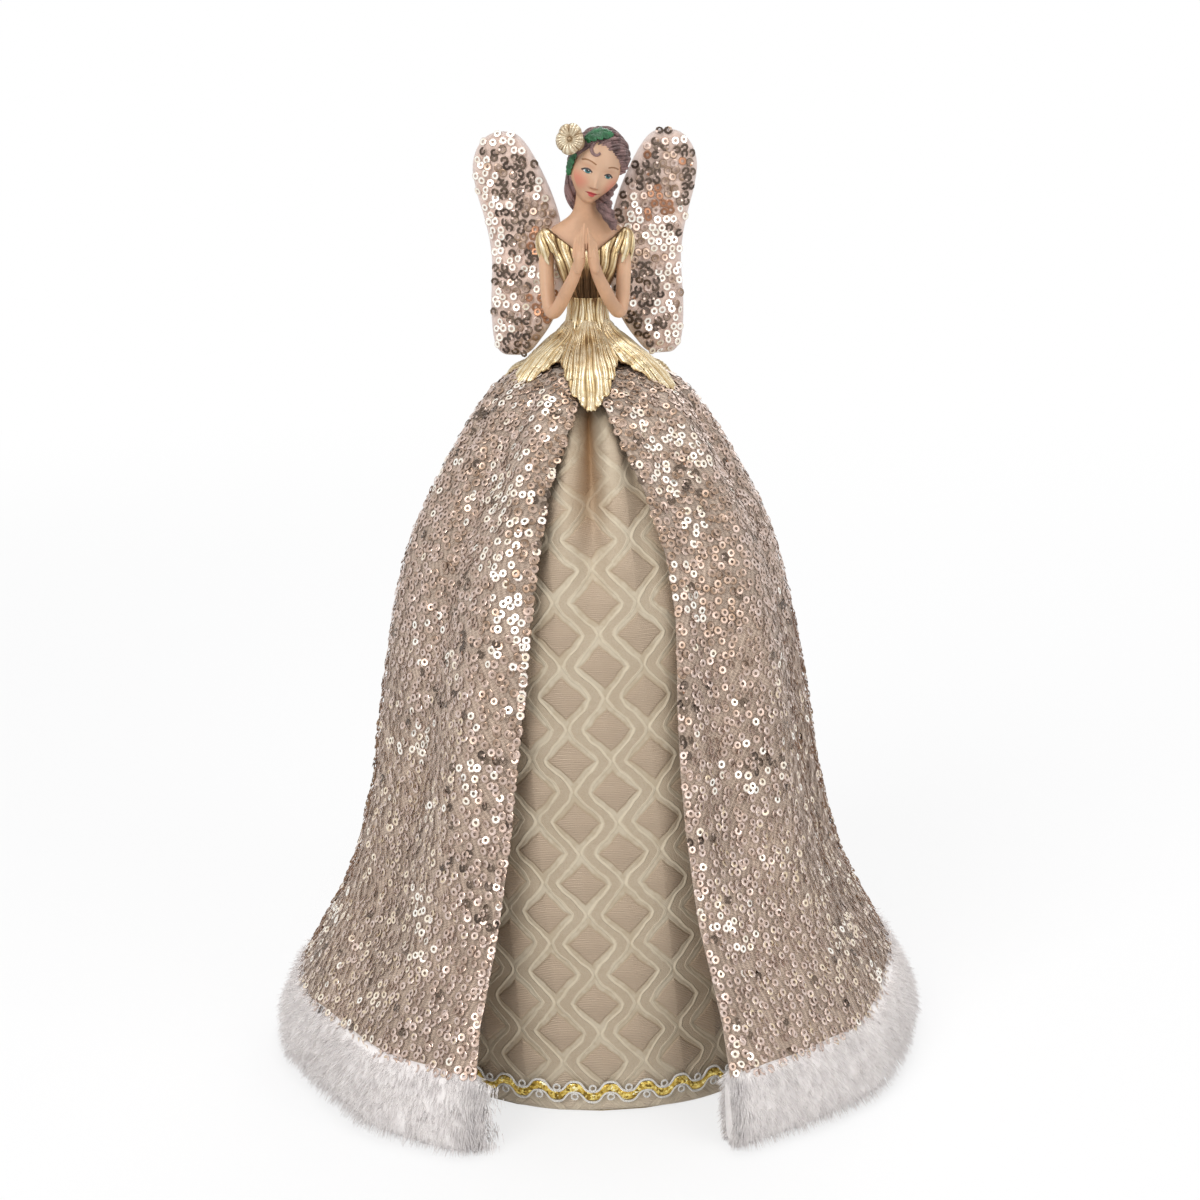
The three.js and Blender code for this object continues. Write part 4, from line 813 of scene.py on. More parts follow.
def painted_skin(tree, inputs, spots):
    back = HEAD_TURN.transposed()
    middle = Vector(HEAD_PLACE) + Vector((0, AXIS_Y / MM, 0))
    values = {0: spots["Object"], "Location": -(back @ middle), "Rotation": back.to_euler(), "Scale": (1 / MM,) * 3}
    here = add(tree, "ShaderNodeMapping", values, vector_type="POINT")[0]
    layers = []
    for (x, z), wide, high, turn, soft, paint, strength in FACE_PAINT:
        mask = use_group(tree, painted_spot, Coordinates=here, Place=(x, -8.5, z), Wide=wide, High=high,
                         Turn=math.radians(turn), Softness=soft)["Mask"]
        layers.append((times(tree, mask, strength), paint))
    for *stops, half, paint, strength in FACE_LINES:
        start, bend, end = [(x, 0.0, z) for x, z in stops]
        mask = use_group(tree, painted_line, Coordinates=here, From=start, Bend=bend, To=end, Wide=half)["Mask"]
        layers.append((times(tree, mask, strength), paint))
    return layered(tree, skin_base(tree, inputs, spots), layers)


def painted_arm(tree, inputs, spots):
    back = step(tree, axes(tree, spots["Object"])[1], -0.016, -0.006, 0.1, 0.75)
    return blend(tree, back, skin_base(tree, inputs, spots), tint((230, 188, 154)))


def painted_hair(tree, inputs, spots):
    bump(tree, inputs, bands(tree, spots["Object"], 900.0, 5.0, wave_type="BANDS", bands_direction="Z"), 0.12)
    return drifting(tree, spots, palette().hair, 260.0, 0.36, 0.6)["Colour"]


def painted_leaf(tree, inputs, spots):
    paint = drifting(tree, spots, palette().leaf, 300.0, 0.5, 0.5)
    bump(tree, inputs, paint["Mask"], 0.08)
    return paint["Colour"]


def wing_cloth(tree, inputs, spots):
    thread = use_group(tree, woven, Coordinates=spots["UV"], Thread=0.35)["Height"]
    bump(tree, inputs, thread, 0.12)
    base = drifting(tree, spots, palette().wing_cloth, 70.0, 0.82, 0.4)["Colour"]
    return layered(tree, base, ((times(tree, own_value(tree, "rim"), 0.8), (250, 236, 230)),
                                (step(tree, thread, 0.7, 1.2, 0.0, 0.3), (214, 178, 160))))


SKIN = {"Roughness": 0.5, "Subsurface Weight": 0.04, "Subsurface Scale": 0.001}
FINISHES = {maker.__name__: (maker, constants) for maker, constants in (
    (jacquard_cloth, {"Metallic": 0.25, "Sheen Weight": 0.15}),
    (sequin_foil, {"Metallic": 0.7, "Roughness": 0.3}),
    (net_cloth, {"Roughness": 0.85, "Sheen Weight": 0.3}),
    (plush_pile, {"Roughness": 0.9, "Sheen Weight": 0.5}),
    (gold_glitter, {"Metallic": 0.7}),
    (twisted_cord, {"Roughness": 0.75, "Sheen Weight": 0.3}),
    (grey_card, {"Roughness": 0.9}),
    (turned_wood, {"Roughness": 0.7}),
    (soft_wadding, {"Roughness": 1.0}),
    (drawn_wire, {"Metallic": 0.9}),
    (gold_paint, {"Metallic": 0.6}),
    (painted_petal, {"Metallic": 0.3}),
    (painted_skin, SKIN),
    (painted_arm, SKIN),
    (painted_hair, {"Roughness": 0.5}),
    (painted_leaf, {"Roughness": 0.42}),
    (wing_cloth, {"Roughness": 0.8, "Sheen Weight": 0.2}),
)}


def start_material(name, constants):
    """A new material, and its shader's inputs with their fixed values set."""
    material = bpy.data.materials.new(f"topper_{name}")
    material.use_nodes = True
    inputs = material.node_tree.nodes["Principled BSDF"].inputs
    connect(material.node_tree, inputs, constants)
    return material, inputs


def finish_named(name):
    """The material of that name, made the first time."""
    material = bpy.data.materials.get(f"topper_{name}")
    if not material:
        maker, constants = FINISHES[name]
        material, inputs = start_material(name, constants)
        tree = material.node_tree
        connect(tree, inputs, {"Base Color": maker(tree, inputs, tree.nodes.new("ShaderNodeTexCoord").outputs)})
    return material


def finish_node(node, name):
    """Gives a carried-over CAD node its material."""
    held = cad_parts[node]
    if not held.material_slots:
        held.data.materials.append(finish_named(name))
    for slot in held.material_slots:
        slot.material = finish_named(name)


def settle(piece, name, slot, *nodes, body="topper"):
    """Gives a piece its material and its body, and hides the CAD nodes that it stands for; the slot given to it is not
    used.
    """
    piece.data.materials.clear()
    piece.data.materials.append(finish_named(name))
    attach(piece, body)
    if nodes:
        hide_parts(*nodes)


# Stand


def build_stand():
    for name, nodes in (("grey_card", ("tree_cone", "base_ring")), ("turned_wood", ("cone_plug", "figure_peg")),
                        ("drawn_wire", ("cape_hem_wire", "left_wing_wire", "right_wing_wire")),
                        ("twisted_cord", ("waist_tie",)), ("gold_paint", ("wing_mount",))):
        for node in nodes:
            finish_node(node, name)
    outside = smooth_path([(radius - 3.2, z - 2.0) for radius, z in SKIRT_PROFILE[5:14]], 70)

    def place(u, v):
        radius, z = along(outside, np.clip(v * 2, 0, 1))
        inner = mix(outside[-1, 1], outside[0, 1], np.clip(v * 2 - 1, 0, 1))
        cone = mix(77.0, 12.0, inner / WAIST) + 0.6
        inside = v > 0.5
        angle = u * 360
        lump = 0.5 * np.sin(np.radians(angle * 7)) * np.sin(v * 40)
        outer = radius + lump + np.minimum(skirt_tuck(angle, z), 0)
        radius = np.where(inside, cone, np.maximum(outer, cone + 0.2 * (v > 0)))
        return ring(angle, radius, np.where(inside, inner, z))

    pad = sheet("wadding", 96, 120, place, closed=True)
    close_up(pad.data, 5e-5, fill=True)
    settle(pad, "soft_wadding", "wadding", "skirt_wadding")


# Underskirt


def skirt_tuck(angle, z):
    share = z / WAIST
    strength = np.where(share > 1.0, 0.0, smoothstep(share, 0.62, 0.93))
    total = sum(height * ripple(angle, centre, width) for centre, width, height in SKIRT_TUCKS)
    return total * strength


def skirt_gather(angle, z):
    """Small pleats that gather the cloth in towards the waist."""
    strength = smoothstep(z, 205, 242) * smoothstep(252, z, z + 8)
    waves = np.sin(np.radians(angle * 17)) + 0.6 * np.sin(np.radians(angle * 29 + 40))
    return 0.5 * strength * waves


def front_angles(u):
    """Spreads columns so that the front, which shows, has most of them."""
    return np.interp(u, [0, 0.2, 0.8, 1], [-180, -34, 34, 180])


def build_underskirt():
    path = smooth_path(SKIRT_PROFILE, 400)
    length = path_length(path)
    hem = 0.045

    def shape(u, v):
        radius, z = along(path, v)
        angle = front_angles(u)
        wobble = 0.45 * np.sin(np.radians(angle * 5 + 20)) + 0.3 * np.sin(np.radians(angle * 11))
        low = smoothstep(40, z, z + 60) * wobble
        crumple = 0.9 * np.sin(np.radians(angle * 7.3 + z * 2.6)) * np.exp(-(((z - 205) / 16) ** 2))
        sag = 0.5 * np.sin(np.radians(angle * 9 + 30)) * smoothstep(z, 10, 2)
        radius = radius + skirt_tuck(angle, z) + skirt_gather(angle, z)
        return ring(angle, radius + low + crumple, z + sag)

    def flat(u, v):
        radius = along(path, v)[0]
        rise = (v - hem) * length + 6.4
        return np.radians(front_angles(u)) * np.maximum(radius, 45.0) - 2.5 + 0.085 * rise, rise

    def gathered(u, v):
        return smoothstep(along(path, v)[1], 200, 236)

    def shade(u, v):
        """Painted shade where the cloth lies in shadow: in the front tuck, in the gathers and beside the cape's edges.
        """
        z = along(path, v)[1]
        angle = front_angles(u)
        valley = np.exp(-(((angle + 0.5) / mix(3.4, 6.0, smoothstep(z, 235, 200))) ** 2)) * smoothstep(z, 186, 226)
        left, right = -angle - edge_angle(LEFT_EDGE, z), angle - edge_angle(RIGHT_EDGE, z)
        edges = smoothstep(np.maximum(left, right), -6.0, 1.5)
        folds = 0.2 * smoothstep(z, 190, 238) * (0.5 - 0.5 * np.sin(np.radians(angle * 17)))
        return np.clip(0.85 * valley + 0.1 * edges + folds, 0, 0.95)

    def puff(u, v):
        column, row = measures().diamond_width / MM, measures().diamond_height / MM
        x, y = flat(u, v)
        x = np.abs((x + column) % (2 * column) - column) * DIAMOND[0] / column
        y = np.abs((y + row) % (2 * row) - row) * DIAMOND[1] / row
        inside = np.minimum(x + 1.02 * y, (DIAMOND[0] - x) + 1.02 * (DIAMOND[1] - y))
        rise = np.clip(1 - inside / DIAMOND_EDGE, 0, 1) ** 0.7
        return 0.95 * rise * smoothstep(v, hem, hem + 0.02) * (1 - 0.8 * gathered(u, v))

    def place(u, v):
        return shape(u, v) + normals_of(shape, u, v) * puff(u, v)[:, None]

    skirt = sheet("underskirt_cloth", 400, 190, place, closed=True, uv=flat,
                  values={"gathered": gathered, "shade": shade})
    settle(skirt, "jacquard_cloth", "jacquard", "underskirt")
    build_braid()


# Braid


def build_braid():
    """The zigzag ribbon and the two scrolled cords on the skirt's hem."""
    radius, middle = 78.0 + 1.1, 8.4
    waves = measures().braid_waves

    def wave(angle):
        turn = np.radians(angle * waves)
        return middle + 1.65 * np.sin(turn) / np.sqrt(0.45 + np.sin(turn) ** 2) * 1.1

    def ribbon(u, v):
        angle = u * 360
        lift = 0.35 * np.sin(v * math.pi)
        return ring(angle, radius + 0.25 + lift, wave(angle) + (v - 0.5) * measures().ribbon_width / MM)

    gold = thicken(sheet("braid_ribbon", 780, 6, ribbon, closed=True), 0.35)
    settle(gold, "gold_glitter", "gold_braid", "hem_ribbon")
    for side, node in ((-1, "hem_cord_low"), (1, "hem_cord_high")):
        angle = np.linspace(0, 360, waves * 24, endpoint=False)
        turn = np.radians(angle * waves)
        z = wave(angle) + side * (1.95 + 0.35 * np.sin(turn) * side)
        spots = ring(angle, radius + 0.35 + 0 * angle, z)
        paths = [(np.column_stack([spots, np.full(len(spots), 0.4)]), True)]
        for index in range(waves):
            centre = (index + (0.25 if side < 0 else 0.75)) * 360 / waves
            sweep = np.linspace(0, 1, 14)
            size = 1.3 - 0.45 * sweep
            curl = sweep * 2.3 * math.pi
            z = wave(np.array([centre]))[0] + side * (2.0 + size * (1 - np.cos(curl)))
            spots = ring(centre + np.degrees(size * np.sin(curl) / radius), radius + 0.5 + 0.3 * sweep, z)
            paths.append((np.column_stack([spots, np.full(14, 0.33)]), False))
        cord = tubes(f"braid_{node}", paths, sides=6)
        settle(cord, "twisted_cord", "white_cord", node)


# Cape


def edge_angle(table, z):
    heights, angles = zip(*table)
    return np.interp(z, heights, angles)


def cape_fold(angle, z):
    share = z / WAIST
    high = mix(1.0, 0.3, smoothstep(share, 0.9, 1.0))
    low = mix(0.4, 1.0, smoothstep(share, 0.1, 0.45))
    strength = np.where(share > 1.035, 0.0, np.minimum(high, low))
    total = 0
    for waist, hem, width, height in CAPE_FOLDS:
        total = total + height * ripple(angle, mix(hem, waist, share), width)
    gather = smoothstep(z, 180, 240) * smoothstep(z, 250, 240)
    fine = 0.55 * np.sin(np.radians(angle * 13 + 30)) + 0.45 * np.sin(np.radians(angle * 23))
    return total * strength + fine * gather * 1.1


def cape_surface(path):
    def shape(u, v):
        radius, z = along(path, v)
        start = edge_angle(RIGHT_EDGE, z)
        end = 360 - edge_angle(LEFT_EDGE, z)
        angle = mix(start, end, u)
        place = signed(angle)
        edge = np.minimum(angle - start, end - angle)
        roll = -1.1 * np.exp(-((edge / 2.2) ** 2)) * smoothstep(z, 246, 225)
        sway = 0.8 * np.sin(np.radians(place * 3 + z * 1.4)) * smoothstep(z, 235, 120)
        return ring(angle, radius + cape_fold(place, z) + roll + sway, z)

    return shape


def make_ring():
    """The small punched ring that every sequin copies: a bevelled rim round a flat face."""
    outer = measures().sequin_width / MM / 2
    bm = bmesh.new()
    spots = [bm.verts.new((outer * share, 0, height)) for share, height in ((1, 0), (0.84, 0.1), (0.4, 0.07))]
    edges = [bm.edges.new((a, b)) for a, b in zip(spots, spots[1:])]
    bmesh.ops.spin(bm, geom=spots + edges, cent=(0, 0, 0), axis=(0, 0, 1), dvec=(0, 0, 0), angle=2 * math.pi,
                   steps=8, use_merge=True)
    bmesh.ops.remove_doubles(bm, verts=bm.verts, dist=1e-4)
    bmesh.ops.recalc_face_normals(bm, faces=bm.faces)
    bmesh.ops.reverse_faces(bm, faces=[face for face in bm.faces if face.normal.z < 0])
    return mesh_from(bm, "sequin")


def foil_tones_and_painted_light(template, tones, generator):
    """A tone for each face, which paints light on every ring: one side lighter as a painted highlight, the rim darker
    as painted shade, most of all on a bright ring, and a painted glint on dark rings.
    """
    middles = np.array([face.center for face in template.polygons])
    angle = np.arctan2(middles[:, 1], middles[:, 0])
    reach = np.hypot(middles[:, 0], middles[:, 1])
    rim = (reach > reach.mean())[None, :]
    # A random way for each ring from which its painted light falls
    away = np.cos(angle[None, :] - generator.uniform(0, 6.3, (len(tones), 1)))
    tones = np.asarray(tones)[:, None]
    # Dark rings take a painted glint on that side, middle rings a painted highlight there and painted shade on the rim,
    # bright rings a painted darker rim and far side
    glint = tones + 0.5 * smoothstep(away, 0.85, 0.97)
    middle = np.where(tones > 0.15, np.clip(tones + 0.1 * away - 0.1 * rim, 0.15, 0.78), tones)
    bright = np.where(rim, 0.62, tones - 0.05 * (away < -0.7))
    return np.clip(np.where(tones < 0.11, glint, np.where(tones < 0.8, middle, bright)), 0, 1)


# Clusters of rings of one tone on the wings, where ivory rings are a painted bright reflection and dark rings a painted
# dark reflection: places across and up in millimetres
WING_CLUSTERS = {
    "left_wing": {
        "ivory": [(-33.9, 326.5), (-28.7, 327.4), (-37.5, 318.3), (-22.2, 321.9), (-32.9, 313.6), (-36.8, 309.5),
                  (-33.7, 303.0), (-25.5, 303.4), (-16.9, 309.0), (-13.2, 305.8), (-33.4, 296.9), (-29.6, 293.2),
                  (-31.8, 286.1), (-19.0, 280.1), (-23.2, 282.6), (-33.0, 271.0), (-26.0, 268.5), (-31.0, 259.0)],
        "dark": [(-31.2, 321.5), (-27.4, 321.9), (-22.8, 318.7), (-18.1, 315.9), (-25.2, 315.0), (-22.5, 309.9),
                 (-29.2, 307.6), (-24.5, 305.3), (-18.2, 310.8), (-31.4, 299.9), (-22.8, 298.8), (-26.7, 296.9),
                 (-22.0, 294.6), (-27.9, 288.9), (-24.1, 287.6), (-20.4, 283.4), (-31.0, 280.4), (-27.2, 279.1),
                 (-32.5, 277.1), (-23.4, 277.2), (-31.0, 265.0), (-24.0, 263.0), (-20.0, 259.0), (-26.0, 254.0)],
        "copper": [(-11.2, 309.4), (-15.8, 313.6), (-10.4, 304.4), (-8.6, 299.8), (-19.2, 290.4), (-18.4, 287.6),
                   (-16.0, 268.0)],
        "smoke": [(-31.8, 316.4), (-14.2, 302.1), (-13.8, 299.3), (-22.1, 291.3), (-18.9, 303.9), (-26.0, 273.0)],
    },
    "right_wing": {
        "ivory": [(30.8, 324.8), (18.7, 304.5), (31.9, 305.5), (15.7, 297.8), (25.6, 296.4), (32.1, 298.1),
                  (22.1, 291.2), (24.5, 288.2), (32.0, 289.8), (23.9, 281.3), (31.0, 283.0), (28.9, 276.1),
                  (31.4, 274.0), (15.8, 268.8), (26.8, 266.3), (31.3, 262.1), (21.2, 260.1), (24.0, 256.0),
                  (28.0, 254.0)],
        "dark": [(25.9, 324.5), (25.3, 321.1), (32.8, 319.5), (36.3, 320.3), (38.2, 315.4), (18.8, 314.1),
                 (17.3, 310.8), (20.3, 309.8), (14.3, 307.5), (24.8, 313.5), (36.7, 309.2), (35.7, 304.4),
                 (11.8, 300.4), (12.8, 304.2), (33.1, 294.2), (17.4, 275.7), (16.8, 272.3), (20.3, 268.6),
                 (19.8, 265.7), (15.2, 264.4), (17.2, 262.3), (26.3, 260.3), (23.8, 271.9), (21.4, 279.5),
                 (19.0, 254.0)],
        "copper": [(21.4, 318.9), (24.1, 299.9), (28.6, 301.2), (22.7, 306.3), (26.2, 302.8), (33.2, 316.1)],
        "smoke": [(29.3, 318.1), (31.2, 312.8), (28.7, 310.4), (30.2, 308.4), (21.5, 283.4), (32.9, 269.0),
                  (23.0, 284.8), (17.5, 289.0)],
    },
}


def wing_tones(name, spots, generator):
    """Tones of a wing's rings, with painted reflections: each takes the tone of the cluster that lies nearest, and a
    few stand alone.
    """
    # Tone ranges: ivory for a painted bright reflection, dark for a painted dark reflection, then copper and smoke
    kinds = {"ivory": (0.9, 1.0), "dark": (0.0, 0.08), "copper": (0.12, 0.13), "smoke": (0.2, 0.34)}
    seeds = np.array([(*place, *kinds[kind]) for kind, places in WING_CLUSTERS[name].items() for place in places])
    gaps = np.linalg.norm(spots[:, None, [0, 2]] - seeds[None, :, :2], axis=2)
    nearest = seeds[np.argmin(gaps + generator.uniform(0, 2.0, gaps.shape), axis=1)]
    tones = generator.uniform(nearest[:, 2], nearest[:, 3])
    return np.where(generator.uniform(0, 1, len(spots)) < 0.06, generator.uniform(0.3, 0.6, len(spots)), tones)


def patch_share(table, angle, z):
    """How far places lie inside the patches of a table, from 0 to 1."""
    share = np.zeros(len(z))
    for centre, height, wide, tall in table:
        away = signed(angle - centre) / wide
        share = np.maximum(share, np.exp(-(away**2) - ((z - height) / tall) ** 2))
    return share


def sequin_tones(points, normals, generator):
    """Tones of the cape, partly random and partly painted reflection: brown where it faces the viewer, rose towards the
    sides, paler lower down, with patches of painted highlights and painted shade.
    """
    angle = np.degrees(np.arctan2(points[:, 0], -points[:, 1]))
    patch, small = field(points, generator, 42.0), field(points, generator, 13.0)
    chance = generator.uniform(0, 1, (3, len(points)))
    # Painted reflection: brown where the rings face the viewer, rose where they turn to the sides
    side = smoothstep(np.abs(normals[:, 0]), 0.2, 0.85)
    pale = 0.24 * smoothstep(points[:, 2], 190, 100)
    tone = mix(0.29, 0.5, side) + pale + 0.16 * (small - 0.5) + 0.16 * (chance[0] - 0.5)
    behind = smoothstep(points[:, 1], -20, 20)
    # Painted highlights: bright rings in the glint patches, and more towards the back in bright patches of the field
    painted_glint_chance = 0.025 + 0.9 * patch_share(CAPE_GLINTS, angle, points[:, 2])
    painted_glint_chance = painted_glint_chance + mix(0.1, 0.6, behind) * smoothstep(patch, 0.7, 1.0)
    tone = np.where(chance[1] < painted_glint_chance, generator.uniform(0.84, 1.0, len(points)), tone)
    # Painted shade: dark rings in the shade patches and in dark patches of the field
    dark = 0.015 + 0.75 * patch_share(CAPE_SHADES, angle, points[:, 2]) + 0.06 * smoothstep(patch, 0.3, 0.05)
    return np.where(chance[2] < dark, generator.uniform(0.0, 0.1, len(points)), tone)


def build_cape():
    path = smooth_path(CAPE_PROFILE, 300)
    length = path_length(path)
    shape = cape_surface(path)

    def flat(u, v):
        radius = along(path, v)[0]
        return (u - 0.5) * 2 * math.pi * radius * 0.88, v * length

    cloth = thicken(sheet("cape_cloth", 240, 90, shape, uv=flat), 0.7)
    settle(cloth, "net_cloth", "sequin_cloth", "cape")
    generator = np.random.default_rng(7)
    spots, shares = [], []
    rows = int(length / (measures().sequin_row / MM))
    for row in range(1, rows):
        v = (row + 0.3) / rows
        radius, z = [float(value[0]) for value in along(path, np.array([v]))]
        if radius < 11.5 or z < 23:
            continue
        arc = 2 * math.pi * radius * (1 - (edge_angle(RIGHT_EDGE, z) + edge_angle(LEFT_EDGE, z)) / 360)
        packed = mix(1.0, 0.8, float(smoothstep(z, 150, 225)))
        count = max(int(arc / (measures().sequin_step / MM * packed)), 4)
        u = (np.arange(count + 1) + 0.5 * (row % 2) + generator.uniform(-0.36, 0.36, count + 1)) / count
        spots.append(np.clip(u, 0.0015, 0.9985))
        shares.append(np.clip(v + generator.uniform(-0.42, 0.42, count + 1) / rows, 0.004, 0.97))
    u, v = np.concatenate(spots), np.concatenate(shares)
    normal = turned_towards(-normals_of(shape, u, v), shape(u, v) * [1, 1, 0])
    lift = 0.6 + 0.6 * generator.uniform(0, 1, len(u))
    centre = shape(u, v) + normal * lift[:, None]
    tones = sequin_tones(centre, normal, generator)
    turn = np.arctan2(centre[:, 0], -centre[:, 1])
    away = np.stack([np.cos(turn), np.sin(turn), 0 * turn], axis=-1) * np.sign(turn)[:, None]
    low = smoothstep(centre[:, 2], 190, 120)
    lean = np.where(tones > 0.8, 0.1, 0.3 * low)
    centre = centre + normal * (0.4 * low)[:, None]
    turns = turn_frames(normal + away * lean[:, None] + np.array([0, 0, 0.12]), generator, 0.15)
    sizes = generator.uniform(0.94, 1.04, len(u))
    template = make_ring()
    tones = foil_tones_and_painted_light(template, tones, generator)
    parts = 4
    for part in range(parts):
        chosen = (u >= part / parts) & (u < (part + 1) / parts)
        made = scatter(f"cape_sequins_{part + 1}", template, centre[chosen], turns[chosen], sizes[chosen],
                       tones[chosen], False)
        settle(made, "sequin_foil", "sequin_cloth")
    bpy.data.meshes.remove(template)


# Plush trim


# Length of the plush band along the hem in millimetres, and the radius and height of its core
BAND_LENGTH = 600
BAND_RADIUS, BAND_HEIGHT = 110.5, 13.5


def build_plush():
    section = smooth_path([(104.5, 24.5), (104.0, 12.0), (106.5, 1.6), (111.0, 0.7), (115.2, 1.6), (117.4, 7.0),
                           (116.2, 14.0), (113.6, 20.5), (110.6, 25.4), (107.2, 26.8), (104.5, 24.5)], 80)

    def shape(u, v):
        radius, z = along(section, v)
        start = edge_angle(RIGHT_EDGE, 22) - 0.3
        end = 360 - edge_angle(LEFT_EDGE, 22) + 0.3
        angle = mix(start, end, u)
        place = signed(angle)
        fold = cape_fold(place, 25 + 0 * z)
        edge = np.minimum(u, 1 - u) * BAND_LENGTH
        full = np.sqrt(np.clip(edge / 5.0, 0.02, 1))
        radius = BAND_RADIUS + (radius - BAND_RADIUS) * mix(0.3, 1.0, full)
        z = BAND_HEIGHT + (z - BAND_HEIGHT) * mix(0.8, 1.0, full)
        lump = 0.5 * np.sin(np.radians(place * 9 + z * 6)) + 0.35 * np.sin(np.radians(place * 23 - z * 9))
        return ring(angle, radius + fold + lump, z)

    band = sheet("plush_band", 420, 48, shape, closed=True)
    close_up(band.data, 1e-6, fill=True)
    point_value(band.data, "tone", 0.6)
    settle(band, "plush_pile", "plush", "fur_trim")
    generator = np.random.default_rng(11)
    template = make_strand()
    count = 10500
    for part in range(3):
        u = generator.uniform(part / 3, (part + 1) / 3, count)
        ends = (generator.uniform(0, 1, count) < 0.12) & (part != 1)
        u = np.where(ends, np.abs(generator.normal(0, 0.0045, count) - part / 2), u)
        v = np.where(ends, generator.uniform(0, 1, count), generator.uniform(0.22, 0.9, count))
        centre = shape(u, v)
        outward = unit(shape(u, np.full(count, 0.55)) * [1, 1, 0])
        normal = turned_towards(normals_of(shape, u, v), centre - (outward * BAND_RADIUS + [0, 0, BAND_HEIGHT]))
        way = normal + [0, 0, -0.9] + generator.normal(0, 0.17, (count, 3))
        corner = np.exp(-(np.minimum(u, 1 - u) * BAND_LENGTH / 7.0))
        way = unit(way + corner[:, None] * [0, 0, -0.6])
        side = unit(np.cross(way, generator.normal(0, 1, (count, 3))))
        turns = np.stack([side, np.cross(way, side), way], axis=-1)
        length = generator.uniform(0.5, 1.0, count) * measures().pile_length / MM
        tip = centre + way * length[:, None]
        cut = np.maximum((centre[:, 2] - 0.5) / np.maximum(-way[:, 2], 0.05), 0.6)
        length = np.where(tip[:, 2] < 0.5, cut, length)
        turns = turns * np.stack([np.ones(count), np.ones(count), length], axis=-1)[:, None, :]
        made = scatter(f"plush_pile_{part + 1}", template, centre, turns, np.ones(count),
                       generator.uniform(0, 1, count))
        settle(made, "plush_pile", "plush")
    bpy.data.meshes.remove(template)


def make_strand():
    """A thin tapering fibre that every strand of the pile copies."""
    bm = bmesh.new()
    bmesh.ops.create_cone(bm, cap_ends=False, segments=3, radius1=0.16, radius2=0.16 * 0.2, depth=1.0)
    upright = [edge for edge in bm.edges if abs(edge.verts[0].co.z - edge.verts[1].co.z) > 0.5]
    bmesh.ops.subdivide_edges(bm, edges=upright, cuts=1)
    for vert in bm.verts:
        vert.co.z += 0.5
        vert.co.x += 0.1 * vert.co.z**2
    return mesh_from(bm, "strand")


# Figure


def on_head(points):
    """From the head's own frame, with its face along -Y, to its tilted place."""
    return np.asarray(points, float) @ np.array(HEAD_TURN).T + HEAD_PLACE


def bulge(x, z, place, reach, height):
    away = ((x - place[0]) / reach[0]) ** 2 + ((z - place[1]) / reach[1]) ** 2
    return height * np.exp(-away)


def head_skin(way):
    """The head's surface in its own frame along unit directions."""
    x, y, z = way[..., 0], way[..., 1], way[..., 2]
    jaw = 1 - 0.25 * smoothstep(-z, 0.25, 1.0)
    front = smoothstep(-y, 0.0, 0.55)
    wide = 8.4 * x * jaw * (1 + 0.05 * np.exp(-(((z + 0.25) / 0.3) ** 2)))
    deep = 9.4 * y * (1 - 0.16 * smoothstep(-z, 0.3, 1.0) * (y > 0))
    high = mix(12.4, 13.0, smoothstep(-z, 0.2, 0.9)) * z
    forward = 0
    for place, reach, height in FACE_FORMS:
        forward = forward + bulge(wide, high, place, reach, height)
        if abs(place[0]) > 0.01:
            forward = forward + bulge(wide, high, (-place[0], place[1]), reach, height)
    bridge = 1.55 * smoothstep(-high, -0.6, 5.2) * np.exp(-((wide / mix(0.95, 1.2, smoothstep(-high, 0, 5))) ** 2))
    forward = forward + bridge * smoothstep(high, -6.3, -5.3)
    return np.stack([wide, deep - forward * front, high], axis=-1)


# Forms of the face: place, reach and height in millimetres, each mirrored to the other side
FACE_FORMS = [
    ((0, -5.1), (1.15, 0.95), 1.15),
    ((1.35, -5.5), (0.75, 0.7), 0.5),
    ((3.75, -0.8), (2.5, 1.9), -0.75),
    ((3.75, -1.0), (1.7, 1.15), 0.62),
    ((3.9, 2.4), (2.6, 0.9), 0.25),
    ((4.6, -4.4), (2.7, 2.5), 0.6),
    ((0, -8.0), (3.4, 2.5), 1.15),
    ((0.75, -7.55), (1.0, 0.42), 0.34),
    ((0, -8.75), (1.5, 0.55), 0.45),
    ((0, -8.12), (2.3, 0.2), -0.3),
    ((0, -9.9), (1.8, 0.5), -0.3),
    ((0, -11.3), (2.9, 2.1), 2.9),
]


def ball_mesh(name, place, detail):
    """A round form whose points place(way) sets along unit directions."""
    bm = bmesh.new()
    bmesh.ops.create_icosphere(bm, subdivisions=detail, radius=1.0)
    mesh = mesh_from(bm, name)
    write_points(mesh, place_mm(place(unit(read_points(mesh)))))
    shade_smooth(mesh)
    return new_object(name, mesh)


def rings_form(name, rows):
    """A closed form through ellipses given as (z, centre x, centre y, half width, half depth)."""
    path = smooth_path(rows, 60)

    def place(u, v):
        z, x, y, wide, deep = along(path, v)
        turn = u * 2 * math.pi
        return np.stack([x + wide * np.sin(turn), y - deep * np.cos(turn), z], axis=-1)

    made = sheet(name, 64, 60, place, closed=True)
    close_up(made.data, fill=True)
    return made


